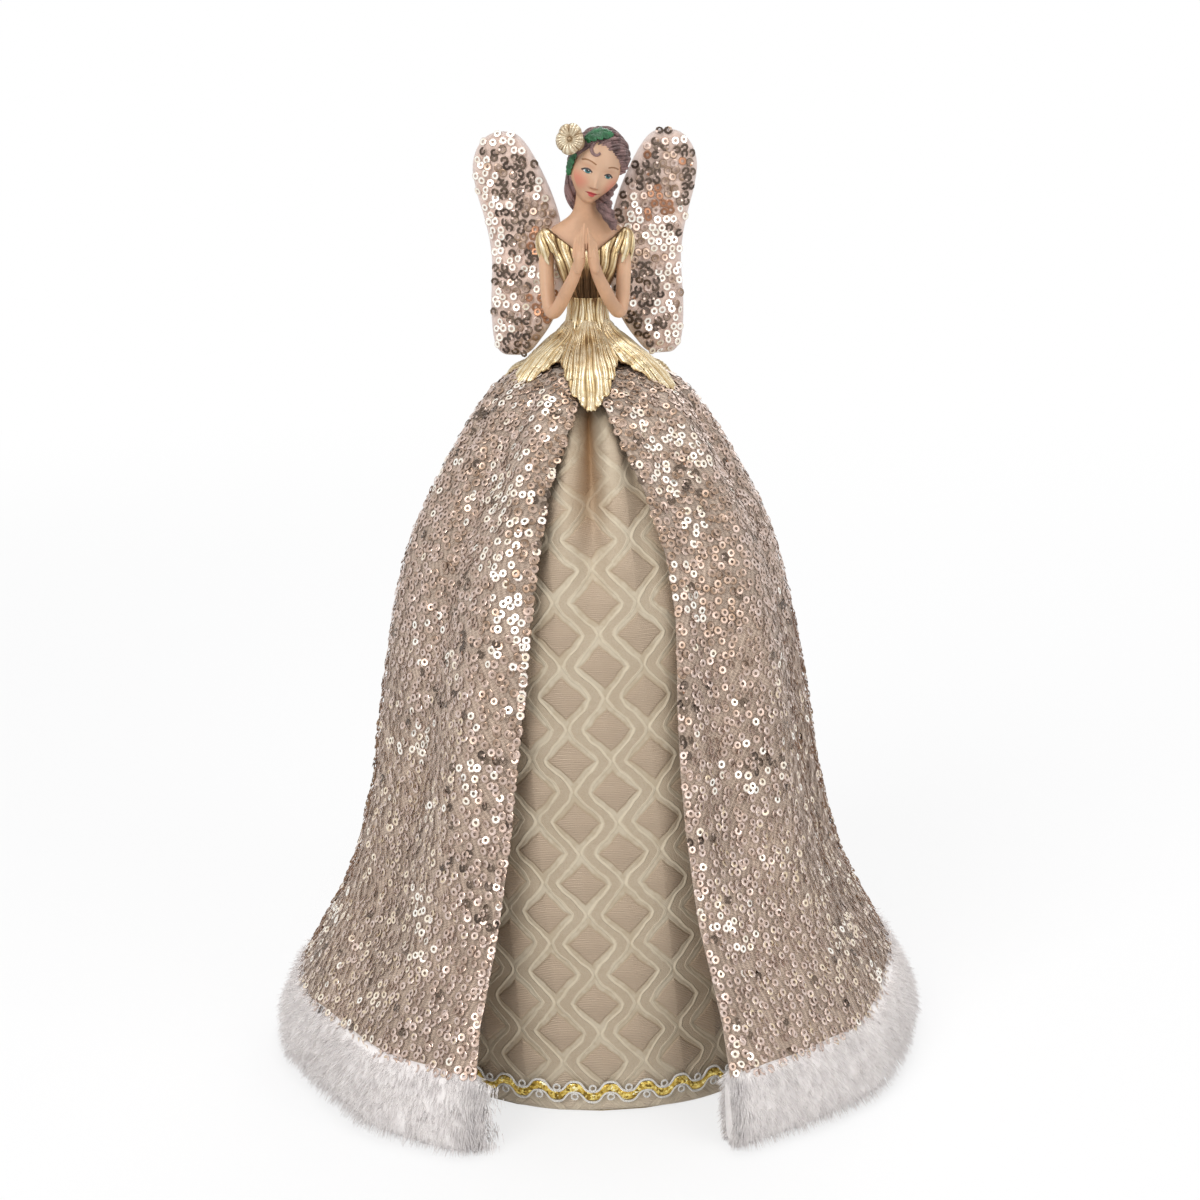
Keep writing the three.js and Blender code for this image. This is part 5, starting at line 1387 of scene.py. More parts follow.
def build_head():
    head = ball_mesh("head", lambda way: on_head(head_skin(way)), 6)
    chest = rings_form("chest", [(284, 0, 0, 9.0, 6.2), (288, 0, 0, 10.2, 6.6), (291, 0, 0, 12.6, 6.0),
                                 (293.6, 0, 0.2, 13.3, 5.4), (295.8, 0.1, 0.3, 11.9, 4.8),
                                 (297.8, 0.1, 0.3, 8.9, 4.4), (299.6, 0.1, 0.2, 6.2, 4.2),
                                 (301.4, 0.1, 0, 4.7, 4.0), (304, 0.4, -0.5, 4.1, 3.9), (308, 1.2, -1.3, 4.3, 4.0),
                                 (313, 2.4, -2.6, 4.9, 4.4)])
    ears = [ball_mesh("ear", lambda way, side=side: on_head(way * [0.9, 1.8, 2.4] + [side * 8.0, 1.6, -1.4]), 3)
            for side in (-1, 1)]
    settle(fuse(join("head_and_shoulders", [head, chest, *ears]), 0.27), "painted_skin", "skin", "head_and_chest")


ARM_PATHS = {
    "left": [(-12.8, 0.2, 291.5, 2.4), (-13.8, -1.0, 287.0, 2.6), (-13.9, -2.8, 279.0, 2.55),
             (-13.3, -5.4, 270.6, 2.45), (-12.0, -7.4, 267.6, 2.4), (-9.7, -10.2, 270.0, 2.35),
             (-6.9, -14.2, 275.6, 2.3), (-4.4, -17.4, 280.6, 2.05), (-3.2, -19.0, 284.2, 1.9),
             (-2.5, -19.8, 287.0, 1.5)],
    "right": [(12.2, 0.2, 291.5, 2.4), (12.9, -1.0, 287.0, 2.6), (12.7, -2.8, 279.0, 2.55),
              (12.1, -5.4, 270.8, 2.45), (10.9, -7.4, 267.6, 2.4), (8.7, -10.2, 270.2, 2.35),
              (6.1, -14.2, 275.6, 2.3), (3.9, -17.4, 280.6, 2.05), (2.8, -19.0, 284.2, 1.9),
              (2.1, -19.8, 287.0, 1.5)],
}


def build_arms():
    for side, name in ((-1, "left"), (1, "right")):
        arm = tubes("arm", [(smooth_path(ARM_PATHS[name], 70), False)], sides=20)
        tipped = turn_matrix(side * -8, "Y")
        breadth, thick = (0.98, 0.56) if side < 0 else (0.74, 0.5)

        def palm_place(way, side=side, tipped=tipped):
            return (way * [2.0, 2.4, 5.0]) @ tipped.T + [side * 2.35, -20.5, 286.8]

        palm = ball_mesh("palm", palm_place, 4)
        fingers = []
        for index in range(4):
            wide, back = breadth * index, -22.3 + 0.45 * index
            top = 299.0 - 1.2 * index - 1.5 * (side > 0)
            route = [(side * (1.3 + wide), back, 287.5, thick * 1.2),
                     (side * (1.1 + 0.97 * wide), back, 291.6, thick * 1.08),
                     (side * (0.85 + 0.86 * wide), back + 0.2, mix(291.6, top, 0.55), thick),
                     (side * (0.5 + 0.7 * wide), back + 0.4, top, thick * 0.6)]
            fingers.append((smooth_path(route, 16), False))
        thumb = [(side * 1.9, -18.0, 285.6, 1.0), (side * 1.1, -17.5, 289.0, 0.85), (side * 0.7, -17.6, 292.0, 0.5)]
        fingers.append((smooth_path(thumb, 12), False))
        whole = fuse(join(f"{name}_arm_skin", [arm, palm, tubes("fingers", fingers, sides=12)]), 0.17)
        settle(whole, "painted_arm", "skin", f"{name}_arm")


# Hairline on the head's own frame: place across and height in millimetres
HAIRLINE = [(-9.5, -6.5), (-8.5, -3.0), (-7.4, 1.4), (-6.5, 3.3), (-5.2, 4.9), (-4.4, 6.4), (-3.2, 8.0), (-1.0, 8.1),
            (1.2, 7.4), (3.4, 6.5), (5.4, 5.2), (7.0, 3.4), (7.9, 1.4), (8.5, -2.2), (9.5, -7.0)]
# Half width, half depth and half height of the head under the hair
HAIR_REACH = np.array([8.4, 9.4, 12.4])


def hair_rise(way):
    """How far the hair stands off the head along a unit direction: nothing on the face."""
    wide, high = way[..., 0] * HAIR_REACH[0], way[..., 2] * HAIR_REACH[2]
    places, heights = zip(*HAIRLINE)
    beyond = high - np.interp(wide, places, heights)
    back = smoothstep(way[..., 1], -0.1, 0.25)
    full = np.maximum(smoothstep(beyond, -0.1, 1.8), back)
    nape = smoothstep(-high, 6.5, 10.0)
    inside = mix(-0.5, -2.6, smoothstep(-way[..., 2], -0.1, 0.5))
    sweep = 1.3 * smoothstep(way[..., 0], 0.3, 0.85) * smoothstep(way[..., 2], -0.35, 0.25) * full
    return mix(inside, 0.6, full) + sweep - 2.5 * nape


def on_hair(way, lift=0.0):
    """Places on the hair's surface along directions in the head's frame, lifted by some millimetres."""
    way = unit(np.asarray(way, float))
    return on_head(way * (HAIR_REACH + (hair_rise(way) + lift)[..., None]))


def great_arc(stops, count=30):
    """Unit directions along a smooth way over the head through the stops."""
    return unit(smooth_path(stops, count))


def front_way(x, z):
    x, z = x / HAIR_REACH[0], z / HAIR_REACH[2]
    return np.array([x, -math.sqrt(max(1 - x * x - z * z, 0.02)), z])


def twisted_bunch(name, route, reach, count, thick, turns, node):
    """A lock of painted hair: strands twisted round each other along a route."""
    spine = smooth_path(route, 72)
    t = np.linspace(0, 1, 72)
    strands = []
    for index in range(count):
        turn = index / count * 2 * math.pi + t * turns
        size = reach * np.sin(t * 2.5 + 0.45)
        spots = spine + np.column_stack([size * np.cos(turn), size * np.sin(turn), 0.3 * np.sin(turn)])
        for part in range(3):
            around = turn * 1.7 + part * 2.1
            strand = spots + 0.42 * thick * np.column_stack([np.cos(around), np.sin(around), 0.4 * np.sin(around)])
            strands.append((np.column_stack([strand, 0.66 * thick * np.sin(t * 2.6 + 0.4) ** 0.6]), False))
    settle(tubes(name, strands, sides=8), "painted_hair", "hair", node)


def build_hair():
    cap = ball_mesh("hair_shell", on_hair, 6)
    generator = np.random.default_rng(5)
    paths = []

    def lock(stops, radius):
        route = great_arc(np.array(stops))
        swell = 0.3 * np.sin(np.linspace(0, 1, 30) * generator.uniform(13, 19) + generator.uniform(0, 6))
        taper = radius * np.sin(np.linspace(0.3, 2.9, 30)) ** 0.6
        paths.append((np.column_stack([on_hair(route, 0.1 + swell + generator.uniform(-0.12, 0.2)), taper]), False))

    right_end, left_end = np.array([0.62, 0.62, -0.5]), np.array([-0.66, 0.55, -0.5])
    places, heights = zip(*HAIRLINE)
    for x in np.concatenate([np.linspace(-2.4, 6.2, 8), [7.0, 7.7, 8.1, 8.4]]):
        start = front_way(x, np.interp(x, places, heights) + 0.2)
        over = start * 0.55 + right_end * 0.3 + np.array([0.55, 0.25, 0.2])
        lock([start, over / np.linalg.norm(over), right_end], generator.uniform(0.62, 0.86))
    for share in np.linspace(0, 1, 8):
        start = mix(np.array([-0.3, -0.5, 0.8]), np.array([-0.12, 0.8, 0.55]), share)
        lock([start, mix(np.array([0.75, -0.1, 0.6]), np.array([0.45, 0.85, 0.1]), share), right_end],
             generator.uniform(0.7, 0.95))
        lock([start, mix(np.array([-0.9, 0.0, 0.45]), np.array([-0.45, 0.88, 0.1]), share), left_end],
             generator.uniform(0.7, 0.95))
    for share in np.linspace(0, 1, 6):
        start = mix(front_way(-2.2, 9.0), np.array([-0.34, -0.46, 0.8]), share)
        side = mix(front_way(-6.7, 5.2), np.array([-0.93, -0.2, 0.35]), share)
        low = mix(np.array([-0.97, -0.12, -0.12]), np.array([-0.95, 0.3, -0.1]), share)
        lock([start, side, low, left_end], generator.uniform(0.55, 0.72))
    curl = [(-3.4, 8.9), (-3.9, 7.6), (-4.2, 6.3), (-3.6, 5.2), (-2.6, 4.8), (-1.7, 5.1), (-1.2, 5.9)]
    flat = great_arc([front_way(x, z) for x, z in curl], 34)
    paths.append((np.column_stack([on_head(head_skin(flat) + flat * 0.1), np.linspace(0.75, 0.45, 34)]), False))
    locks = tubes("hair_locks", paths, sides=8)
    settle(join("swept_hair", [cap, locks]), "painted_hair", "hair", "hair_cap")
    twisted_bunch("hair_over_shoulder", [(9.4, 0.0, 312.5), (8.6, -2.0, 309.6), (6.4, -3.6, 306.6), (6.4, -5.4, 303.6),
                                         (7.6, -6.4, 300.6), (9.0, -6.4, 297.8), (9.6, -5.8, 295.6)],
                  1.5, 3, 1.5, 12.0, "hair_tail")
    twisted_bunch("hair_behind_neck", [(-4.6, 1.8, 315.5), (-5.2, 1.4, 310.0), (-4.4, 1.5, 304.8), (-3.0, 1.8, 301.0)],
                  1.2, 4, 1.15, 2.4, "hair_nape")


def outline(stops, v):
    """Half width of a leaf along its length, from shares of (place, half width)."""
    places, widths = zip(*stops)
    return np.interp(v, places, widths)


def build_hair_leaves():
    teeth = 5

    def leaf(name, start, end, half_width, lift, node):
        route = great_arc(np.array([start, (np.array(start) + end) / 2, end]), 40)
        side = np.cross(route, unit(np.gradient(route, axis=0)))

        def place(u, v):
            across = (u - 0.5) * 2
            tooth = 1 + 0.34 * ((v * teeth) % 1 - 0.5) * smoothstep(np.abs(across), 0.3, 1.0)
            width = half_width * np.sin(np.clip(v * 0.93 + 0.07, 0, 1) * math.pi) ** 0.6 * tooth
            here = [np.stack(along(table, v), axis=-1) for table in (route, side)]
            reach = HAIR_REACH + 0.8 + lift
            spot = here[0] * reach + here[1] * (across * width)[:, None]
            vein = 0.11 * np.cos((v * teeth - np.abs(across) * 1.1) * 2 * math.pi)
            rise = vein - 0.4 * np.exp(-((across / 0.1) ** 2)) - 1.1 * across**2 + 0.5 * np.sin(v * math.pi)
            return on_head(spot + here[0] * rise[:, None])

        settle(thicken(sheet(name, 28, 84, place), 0.5), "painted_leaf", "leaf_green", node)

    leaf("broad_hair_leaf", (-0.76, -0.4, 0.64), (0.2, -0.42, 0.92), 3.0, 0.9, "big_hair_leaf")
    leaf("narrow_hair_leaf", (-0.95, -0.34, 0.22), (-0.97, -0.2, -0.42), 1.7, 0.6, "small_hair_leaf")
    middle = np.array([-4.7, -12.6, 326.3])
    facing = np.array(Matrix.Rotation(math.radians(-16), 3, "Z") @ Matrix.Rotation(math.radians(-6), 3, "X"))

    def petals(turn):
        return np.abs(np.sin(turn * 2.5 + 0.35 * np.sin(turn) + 0.2 * np.sin(turn * 2 + 1)))

    def crinkle(turn, v):
        return np.sin(turn * 21 + 4 * v + 2 * np.sin(turn * 3))

    def flower(u, v):
        turn = u * 2 * math.pi
        petal = petals(turn)
        radius = 4.9 * v * (1 - 0.15 * (1 - petal**0.3) * v) * (1 + 0.06 * np.sin(turn * 2 + 1))
        crown = 1.9 * np.sin(v * 2.3) * (0.55 + 0.45 * petal**0.5) - 0.6 * smoothstep(v, 0.8, 1.0)
        ridge = 0.14 * crinkle(turn, v) * smoothstep(v, 0.12, 0.4)
        spots = np.stack([radius * np.sin(turn), -(crown + ridge), radius * np.cos(turn)], axis=-1)
        return spots @ facing.T + middle

    def groove(u, v):
        turn = u * 2 * math.pi
        # Brown paint and painted shade between the petals, along their crinkles and towards the heart
        between = np.clip(1.0 - petals(turn) * 4.5, 0, 1)
        lines = 0.2 - 0.2 * crinkle(turn, v)
        return np.clip(0.8 * between + 0.1 + lines + 0.55 * (1 - smoothstep(v, 0.1, 0.4)), 0, 1)

    head = thicken(sheet("flower_petals", 160, 30, flower, closed=True, values={"groove": groove}), 0.6)
    seeds = ball_mesh("flower_heart", lambda way: (way * [0.8, 0.7, 0.8] + [0, -0.7, 0]) @ facing.T + middle, 3)
    cup = ball_mesh("flower_cup", lambda way: (way * [3.2, 2.4, 3.0] + [1.4, 1.5, -1.0]) @ facing.T + middle, 4)
    for part in (seeds, cup):
        point_value(part.data, "groove", 0.5)
    settle(join("hair_blossom", [head, seeds, cup]), "painted_petal", "petal", "hair_flower")


def ridges(value, sharp=0.8):
    """Rounded ridges with narrow valleys, from 0 in the valleys to 1 on the ridges, one for each step of value."""
    return np.abs(np.sin(value * math.pi)) ** sharp


def gold_sheet(name, columns, rows, place, wash_and_shade, thickness, node, closed=False):
    """A sheet of gold paint in a CAD node's place, with the brown paint and painted shade in its low places that its
    points carry.
    """
    made = sheet(name, columns, rows, place, closed, values={"groove": wash_and_shade})
    settle(thicken(made, thickness), "gold_paint", "gold_paint", node)


def build_bodice():
    rows = smooth_path([(271.5, 6.1, 5.9), (275, 7.3, 6.9), (279.5, 9.4, 8.4), (284, 10.9, 9.0), (288, 11.8, 8.2),
                        (291, 13.0, 7.2), (294, 13.8, 6.1), (296.5, 13.4, 5.4)], 80)

    def bodice(u, v):
        turn = u * 2 * math.pi
        side = np.abs(np.sin(turn))
        front = 288.9 + 0.9 * np.maximum(12.6 * side - 4.2, 0)
        top = np.where(np.cos(turn) > 0, front, mix(289.5, 295.6, side**2))
        z = mix(271.6, np.minimum(top, 295.8), v)
        wide = np.interp(z, rows[:, 0], rows[:, 1])
        deep = np.interp(z, rows[:, 0], rows[:, 2])
        return np.stack([wide * np.sin(turn), -deep * np.cos(turn), z], axis=-1)

    def fold(u, v):
        spots = bodice(u, v)
        fan = np.arctan2(np.abs(spots[:, 0]), spots[:, 2] - 258.5)
        swing = fan + 0.012 * np.sin(spots[:, 2] * 0.5 + spots[:, 0] * 0.25)
        return 0.62 * ridges(swing / 0.115 + 0.5) + 0.38 * ridges(swing / 0.041 + 0.25 * np.sin(spots[:, 2] * 0.3))

    def draped(u, v):
        free = smoothstep(v, 0.0, 0.06) * smoothstep(1.0 - v, 0.0, 0.05)
        return bodice(u, v) + normals_of(bodice, u, v) * ((fold(u, v) - 0.6) * 1.6 * free)[:, None]

    def wash_and_shade(u, v):
        rim = smoothstep(v, 0.965, 0.985)
        spots = bodice(u, v)
        # Painted shade low on the bodice under the arms, and darker still in the middle under the hands
        under = 0.4 * smoothstep(spots[:, 2], 286, 275)
        centre = 0.55 * np.exp(-((spots[:, 0] / 3.4) ** 2)) * smoothstep(spots[:, 2], 288, 277) * (spots[:, 1] < 0)
        return np.clip(1.26 - 1.25 * fold(u, v) + rim + under + 1.2 * centre, 0, 1)

    gold_sheet("draped_bodice", 260, 90, draped, wash_and_shade, 0.6, "bodice", closed=True)


def build_waist():
    foot = smooth_path([(255.6, 12.2), (257.6, 10.0), (260.5, 8.2), (264, 7.0), (268, 6.5), (272.2, 6.35)], 60)

    def flute(u, v):
        turn = u * 2 * math.pi
        uneven = 0.3 * np.sin(turn * 3 + 1) + 0.12 * np.sin(v * 5 + turn * 2)
        return 0.5 * ridges(u * 13 + uneven) + 0.5 * ridges(u * 37 + uneven + 0.3 * np.sin(v * 8 + turn * 5))

    def place(u, v):
        z, radius = along(foot, v)
        ridge = (flute(u, v) - 0.55) * mix(1.6, 1.2, v)
        return ring(u * 360, radius + ridge, z)

    def wash_and_shade(u, v):
        # Darker in the flutes' valleys, with painted shade at the top under the bodice
        return np.clip(1.1 - 1.25 * flute(u, v) + 0.3 * smoothstep(v, 0.8, 1.0), 0, 1)

    gold_sheet("fluted_waist", 330, 50, place, wash_and_shade, 0.6, "peplum", closed=True)


def build_sleeves():
    for side, name, centre in ((-1, "left", -12.4), (1, "right", 11.9)):
        turned = turn_matrix(side * 20, "Y")

        def leaves(u, v):
            turn = u * 2 * math.pi
            return turn * 7 / (2 * math.pi) + 0.3 - 0.25 * v

        def rib(u, v):
            value = leaves(u, v)
            return 0.6 * ridges(value) + 0.4 * ridges(value * 3 + 0.2 * np.sin(v * 7))

        def wash_and_shade(u, v):
            return np.clip(1.3 - 1.4 * rib(u, v), 0, 1)

        def place(u, v, turned=turned, centre=centre):
            turn = u * 2 * math.pi
            petal = 1 - np.abs(2 * (leaves(u, v) % 1) - 1)
            ragged = 0.06 * np.sin(turn * 23)
            down = v * (mix(1.3, 2.2, petal**0.8) + ragged)
            wide = np.sin(down) ** 0.9
            out = (rib(u, v) - 0.5) * 1.3 * smoothstep(v, 0.08, 0.3) + 0.5 * petal * v
            out = out + 0.8 * smoothstep(v, 0.8, 1.0) * petal
            spots = np.stack([(3.7 + out) * wide * np.sin(turn), -(5.0 + out) * wide * np.cos(turn),
                              7.2 * np.cos(down)], axis=-1)
            return spots @ turned.T + np.array([centre, 0.2, 288.6])

        gold_sheet(f"{name}_leafy_sleeve", 190, 44, place, wash_and_shade, 0.5, f"{name}_sleeve", closed=True)


# Peplum leaf from its root to its tip: share of its length, then its half width in millimetres
LEAF_LOBES = [(0, 3.2), (0.1, 4.6), (0.2, 6.8), (0.28, 8.9), (0.36, 9.4), (0.42, 9.6), (0.46, 10.0), (0.52, 9.9),
              (0.555, 8.8), (0.6, 8.5), (0.645, 8.8), (0.685, 8.1), (0.7, 7.1), (0.76, 7.0), (0.82, 6.7), (0.86, 5.9),
              (0.878, 4.2), (0.92, 3.8), (0.955, 3.1), (0.98, 2.1), (1.0, 0.9)]
LEAF_LINE = [(7.2, 264.5), (8.9, 262.0), (11.5, 259.2), (15.5, 256.2), (20.5, 253.0), (26.0, 249.2), (31.0, 244.9),
             (34.6, 240.9), (36.4, 237.4)]
# Each leaf's node and angle, its shares of length and width, lift at the tip, droop of its sides, columns, and the
# depth of a dip under the wing's foot, which leaves room for the wing to swing
LEAF_PLACES = [("front_leaf", 1, 1.0, 1.0, 0.0, 1.4, 96, 0.0), ("right_leaf", 62, 0.86, 1.0, 2.8, 2.2, 84, 0.0),
               ("left_leaf", -62, 0.75, 1.0, 3.8, 2.2, 84, 0.0), ("right_back_leaf", 121, 0.9, 1.1, 2.6, 3.2, 48, 2.4),
               ("back_leaf", 180, 0.92, 1.1, 2.0, 2.6, 48, 0.0), ("left_back_leaf", -121, 0.9, 1.1, 2.6, 3.2, 48, 2.4)]


def build_peplum_leaves():
    for node, angle, long, wide, lift, droop, columns, dip in LEAF_PLACES:
        path = smooth_path([(mix(7.2, radius, long), z + lift * (radius - 7.2) / 28
                             - dip * math.exp(-(((radius - 24.3) / 4.2) ** 2))) for radius, z in LEAF_LINE], 90)

        def flat(u, v, path=path, angle=angle, wide=wide, droop=droop):
            across = (u - 0.5) * 2
            half = outline(LEAF_LOBES, v) * wide
            radius, z = along(path, np.clip(v - 0.03 * across**2, 0, 1))
            swing = np.degrees(across * half / np.maximum(radius, 9.5))
            return ring(angle + swing, radius, z - droop * np.abs(across) ** 2.2 * half / 9.6)

        def ribs(u, v, wide=wide):
            """Fine uneven strands that fan out from the leaf's root, calmer along its middle."""
            across = (u - 0.5) * 2
            fan = across * outline(LEAF_LOBES, v) * wide / (2.8 + 7.0 * v)
            bent = fan * (1 + 0.3 * np.abs(across)) + 0.03 * np.sin(v * 13 + across * 5) + 0.05 * np.sin(fan * 11)
            strands = 0.5 * ridges(bent * 6.3 + 0.5, 0.9) + 0.5 * ridges(bent * 2.4 + 0.5)
            calm = 0.6 * np.exp(-((across / 0.4) ** 2)) * smoothstep(v, 0.3, 0.5)
            return mix(strands, 0.7, calm)

        def place(u, v, flat=flat, ribs=ribs):
            normal = normals_of(flat, u, v, 0.004)
            normal *= np.sign(normal[:, 2:3] + 1e-6)
            free = smoothstep(v, 0.0, 0.1) * smoothstep(1.0 - v, 0.0, 0.08)
            curl = 1.0 * smoothstep(v, 0.86, 1.0)
            return flat(u, v) + normal * ((ribs(u, v) - 0.6) * 1.1 * free + curl)[:, None]

        def wash_and_shade(u, v, ribs=ribs):
            across = (u - 0.5) * 2
            spot = 0.5 * np.exp(-(((v - 0.21) / 0.07) ** 2) - (across / 0.35) ** 2)
            rim = 0.3 * smoothstep(np.abs(across), 0.9, 1.0)
            return np.clip(1.08 - 1.3 * ribs(u, v) + spot + rim, 0, 1)

        gold_sheet(f"{node}_gold", columns, 96, place, wash_and_shade, 0.8, node)


# Wings

# Height, inner edge and outer edge of a wing in millimetres, from its foot to its tip, measured from its hinge
WING_OUTLINE = [(249.6, 22.6, 22.9), (249.9, 19.2, 26.6), (251.4, 16.6, 28.8), (254.6, 13.8, 30.3), (260.0, 9.8, 31.0),
                (267.0, 6.2, 31.2), (275.0, 4.4, 30.8), (283.0, 4.1, 30.4), (291.0, 4.3, 31.2), (299.0, 5.3, 33.0),
                (307.5, 8.1, 35.4), (315.5, 11.8, 36.6), (321.5, 15.2, 35.2), (325.4, 18.2, 32.4), (327.4, 21.0, 29.2),
                (328.1, 24.6, 25.2)]


def build_wings():
    rows = smooth_path(WING_OUTLINE, 160)
    generator = np.random.default_rng(21)

    def edges_at(z):
        return np.interp(z, rows[:, 0], rows[:, 1]), np.interp(z, rows[:, 0], rows[:, 2])

    for side, name in ((-1, "left_wing"), (1, "right_wing")):
        turned, hinge = turn_matrix(side * 15, "Z"), np.array([side * 4.2, 11.0, 0.0])

        def near_edge(across, z, reach):
            inner, outer = edges_at(z)
            edge = np.minimum(across, 1 - across) * (outer - inner)
            ends = np.minimum(z - rows[0, 0], rows[-1, 0] - z)
            return np.clip(np.minimum(edge, ends * 1.2) / reach, 0, 1), mix(inner, outer, across)

        def face(across, z, way, side=side, turned=turned, hinge=hinge):
            near, x = near_edge(across, z, 8.0)
            crown = 2.9 * np.sqrt(np.clip(1 - (1 - near) ** 2, 0, 1))
            quilt = 0.22 * np.sin(z * 0.9 + across * 9) * near
            spots = np.stack([side * x, way * (crown + quilt), z], axis=-1)
            return spots @ turned.T + hinge

        def spread(u, v):
            across = 1 - np.abs(2 * u - 1)
            return 0.5 - 0.5 * np.cos(across * math.pi), np.interp(v, np.linspace(0, 1, len(rows)), rows[:, 0])

        def cushion(u, v):
            return face(*spread(u, v), np.where(u < 0.5, -1.0, 1.0))

        pad = sheet(f"{name}_cushion", 96, 150, cushion, closed=True,
                    uv=lambda u, v: ((1 - np.abs(2 * u - 1)) * 30, v * 90),
                    values={"rim": lambda u, v: 1 - near_edge(*spread(u, v), 3.0)[0]})
        close_up(pad.data, 2e-5)
        settle(pad, "wing_cloth", "wing_cloth", f"{name}_front_cloth", f"{name}_back_cloth", f"{name}_pad", body=name)
        pitch = 3.0
        spots, normals = [], []
        for row, z in enumerate(np.arange(251.4, 327.3, pitch * 0.9)):
            inner, outer = edges_at(z)
            inner, outer = inner + 1.1, outer - 1.3
            count = int((outer - inner) / pitch)
            if count < 1:
                continue
            x = inner + (np.arange(count) + 0.5 + 0.5 * (row % 2) - 0.25) * (outer - inner) / count
            x = x + generator.uniform(-0.6, 0.6, count)
            level = np.minimum(z + generator.uniform(-0.7, 0.7, count), 327.2)
            low, high = edges_at(level)
            across = np.clip((x - low) / np.maximum(high - low, 1), 0.04, 0.96)
            here = face(across, level, -1.0)
            step_x = face(across + 0.01, level, -1.0) - here
            step_z = face(across, level + 0.2, -1.0) - here
            spots.append(here)
            normals.append(unit(np.cross(step_x, step_z) * side))
        spots, normals = np.vstack(spots), np.vstack(normals)
        tones = wing_tones(name, spots, generator)
        spots = spots + normals * generator.uniform(0.3, 0.9, (len(spots), 1))
        template = make_ring()
        made = scatter(f"{name}_sequins", template, spots, turn_frames(normals, generator, 0.14),
                       generator.uniform(0.94, 1.03, len(spots)), foil_tones_and_painted_light(template, tones, generator), False)
        bpy.data.meshes.remove(template)
        settle(made, "sequin_foil", "sequin_cloth", body=name)


# Stage


# Soft lamps: name, place and size in metres, and power in watts
LAMPS = [("key", (-0.9, -1.3, 1.25), 0.9, 17.0), ("fill", (1.2, -1.1, 0.8), 1.0, 8.0),
         ("top", (0.1, 0.2, 1.7), 0.8, 9.0), ("back", (0.4, 1.5, 0.9), 1.0, 6.0)]
# The camera of the photograph: focal length in millimetres, shift, height above the floor, and lean in degrees
LENS, SHIFT = 63.06, (0.00619, -0.00564)
CAMERA_AWAY, CAMERA_HIGH, LEAN = 0.73529, 0.35721, -1.04


def seen_directly(tree):
    """1 for what the camera sees, straight, mirrored or through glass, and 0 for light that falls on things."""
    rays = tree.nodes.new("ShaderNodeLightPath").outputs
    direct = calc(tree, "MAXIMUM", rays["Is Camera Ray"], rays["Is Glossy Ray"])
    return calc(tree, "MAXIMUM", direct, rays["Is Transmission Ray"])


def whiten(tree, kind, share, plain, end):
    """Mixes a plain white shader into an output's shader by a share."""
    white = add(tree, kind, {"Color": tint((255, 255, 255)), "Strength": 1.0})[0]
    both = add(tree, "ShaderNodeMixShader", {0: share, 1: plain, 2: white})[0]
    connect(tree, tree.nodes[end].inputs, {"Surface": both})


def aimed(spot, target):
    return (Vector(target) - Vector(spot)).to_track_quat("-Z", "Y")


def build_stage():
    bm = bmesh.new()
    bmesh.ops.create_grid(bm, x_segments=8, y_segments=8, size=14.0)
    floor = new_object("floor", mesh_from(bm, "floor"))
    material = start_material("pale_floor", {"Roughness": 0.8, "Base Color": tint((240, 240, 240))})[0]
    tree = material.node_tree
    spots = tree.nodes.new("ShaderNodeTexCoord").outputs
    reach = add(tree, "ShaderNodeVectorMath", {0: spots["Object"]}, operation="LENGTH")["Value"]
    far = step(tree, reach, 0.35, 1.4, 0.72, 1.0)
    whiten(tree, "ShaderNodeEmission", times(tree, seen_directly(tree), far),
           tree.nodes["Principled BSDF"].outputs[0], "Material Output")
    floor.data.materials.append(material)
    world = bpy.data.worlds.new("studio")
    bpy.context.scene.world = world
    world.use_nodes = True
    tree = world.node_tree
    lit = tree.nodes["Background"]
    connect(tree, lit.inputs, {"Color": tint((250, 250, 252)), "Strength": 0.42})
    whiten(tree, "ShaderNodeBackground", seen_directly(tree), lit.outputs[0], "World Output")
    for name, spot, size, power in LAMPS:
        lamp = bpy.data.lights.new(name, "AREA")
        lamp.size = size
        lamp.energy = power
        holder = new_object(name, lamp)
        holder.location = spot
        holder.rotation_euler = aimed(spot, (0, 0, 0.16)).to_euler()
    camera = bpy.data.cameras.new("camera")
    camera.lens = LENS
    camera.sensor_width = 36.0
    camera.shift_x, camera.shift_y = SHIFT
    camera.clip_start = 0.01
    holder = new_object("camera", camera)
    spot = (0, AXIS_Y - CAMERA_AWAY, CAMERA_HIGH)
    aim = aimed(spot, (0, AXIS_Y, 0.165)).to_matrix().to_4x4()
    holder.matrix_world = Matrix.Translation(spot) @ aim @ Matrix.Rotation(math.radians(LEAN), 4, "Z")
    bpy.context.scene.camera = holder
    bpy.context.scene.view_settings.view_transform = "Standard"


class BuildStep:
    """What the operators share: each runs its builders in order."""

    def execute(self, context):
        for build in self.builders:
            build()
        return {"FINISHED"}


class TOPPER_OT_stand(BuildStep, bpy.types.Operator):
    """Finish the card cone, its ring, plug and peg, the wires and the ties, and build the skirt's wadding"""

    bl_idname = "topper.stand"
    bl_label = "Stand and wadding"
    builders = (build_stand,)


class TOPPER_OT_underskirt(BuildStep, bpy.types.Operator):
    """Build the jacquard underskirt and the braid on its hem"""

    bl_idname = "topper.underskirt"
    bl_label = "Underskirt and braid"
    builders = (build_underskirt,)


class TOPPER_OT_cape(BuildStep, bpy.types.Operator):
    """Build the open cape and its sequins"""

    bl_idname = "topper.cape"
    bl_label = "Sequinned cape"
    builders = (build_cape,)


class TOPPER_OT_plush(BuildStep, bpy.types.Operator):
    """Build the plush band on the cape's hem and its pile"""

    bl_idname = "topper.plush"
    bl_label = "Plush trim"
    builders = (build_plush,)


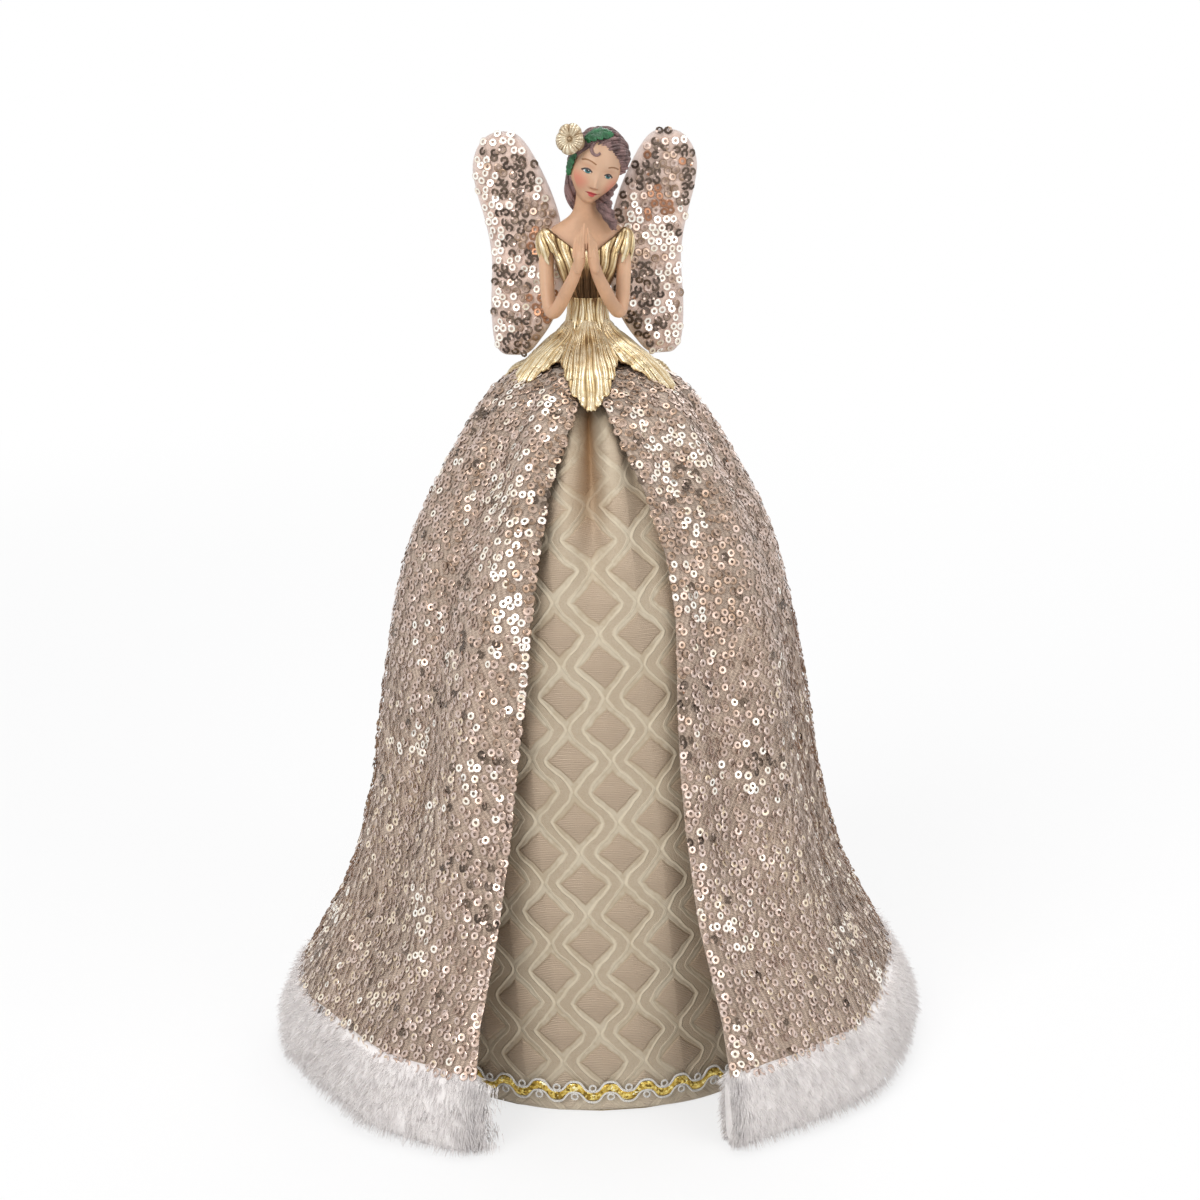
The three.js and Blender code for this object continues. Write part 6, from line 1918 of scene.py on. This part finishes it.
class TOPPER_OT_figure(BuildStep, bpy.types.Operator):
    """Build the painted head, neck, shoulders and praying arms"""

    bl_idname = "topper.figure"
    bl_label = "Head and arms"
    builders = (build_head, build_arms)


class TOPPER_OT_hair(BuildStep, bpy.types.Operator):
    """Build the swept hair with its locks, flower and two leaves"""

    bl_idname = "topper.hair"
    bl_label = "Hair, flower and leaves"
    builders = (build_hair, build_hair_leaves)


class TOPPER_OT_dress(BuildStep, bpy.types.Operator):
    """Build the draped bodice, fluted waist, leafy sleeves and the six gold leaves over the skirt"""

    bl_idname = "topper.dress"
    bl_label = "Gold dress"
    builders = (build_bodice, build_waist, build_sleeves, build_peplum_leaves)


class TOPPER_OT_wings(BuildStep, bpy.types.Operator):
    """Build the two padded wings and their sequins"""

    bl_idname = "topper.wings"
    bl_label = "Wings"
    builders = (build_wings,)


class TOPPER_OT_stage(BuildStep, bpy.types.Operator):
    """Set up the floor, the soft studio light and the camera at the photograph's angle"""

    bl_idname = "topper.stage"
    bl_label = "Stage"
    builders = (build_stage,)


STEPS = (TOPPER_OT_stage, TOPPER_OT_stand, TOPPER_OT_underskirt, TOPPER_OT_cape, TOPPER_OT_plush, TOPPER_OT_figure,
         TOPPER_OT_hair, TOPPER_OT_dress, TOPPER_OT_wings)


class TOPPER_PT_pieces(bpy.types.Panel):
    """Pieces of the tree topper, in the order in which they are built"""

    bl_idname = "TOPPER_PT_pieces"
    bl_label = "Fairy Tree Topper"
    bl_space_type = "VIEW_3D"
    bl_region_type = "UI"
    bl_category = "Topper"

    def draw(self, context):
        for group in (context.scene.topper_sizes, context.scene.topper_colours):
            column = self.layout.column(align=True)
            for name in group.__annotations__:
                column.prop(group, name)
        column = self.layout.column(align=True)
        for step in STEPS:
            column.operator(step.bl_idname)


CLASSES = (TopperSizes, TopperColours, *STEPS, TOPPER_PT_pieces)


def register():
    for kind in CLASSES:
        bpy.utils.register_class(kind)
    bpy.types.Scene.topper_sizes = bpy.props.PointerProperty(type=TopperSizes)
    bpy.types.Scene.topper_colours = bpy.props.PointerProperty(type=TopperColours)


def unregister():
    del bpy.types.Scene.topper_colours
    del bpy.types.Scene.topper_sizes
    for kind in reversed(CLASSES):
        bpy.utils.unregister_class(kind)


def main():
    register()
    for step in STEPS:
        getattr(bpy.ops.topper, step.bl_idname.split(".")[1])()


if __name__ == "__main__":
    main()
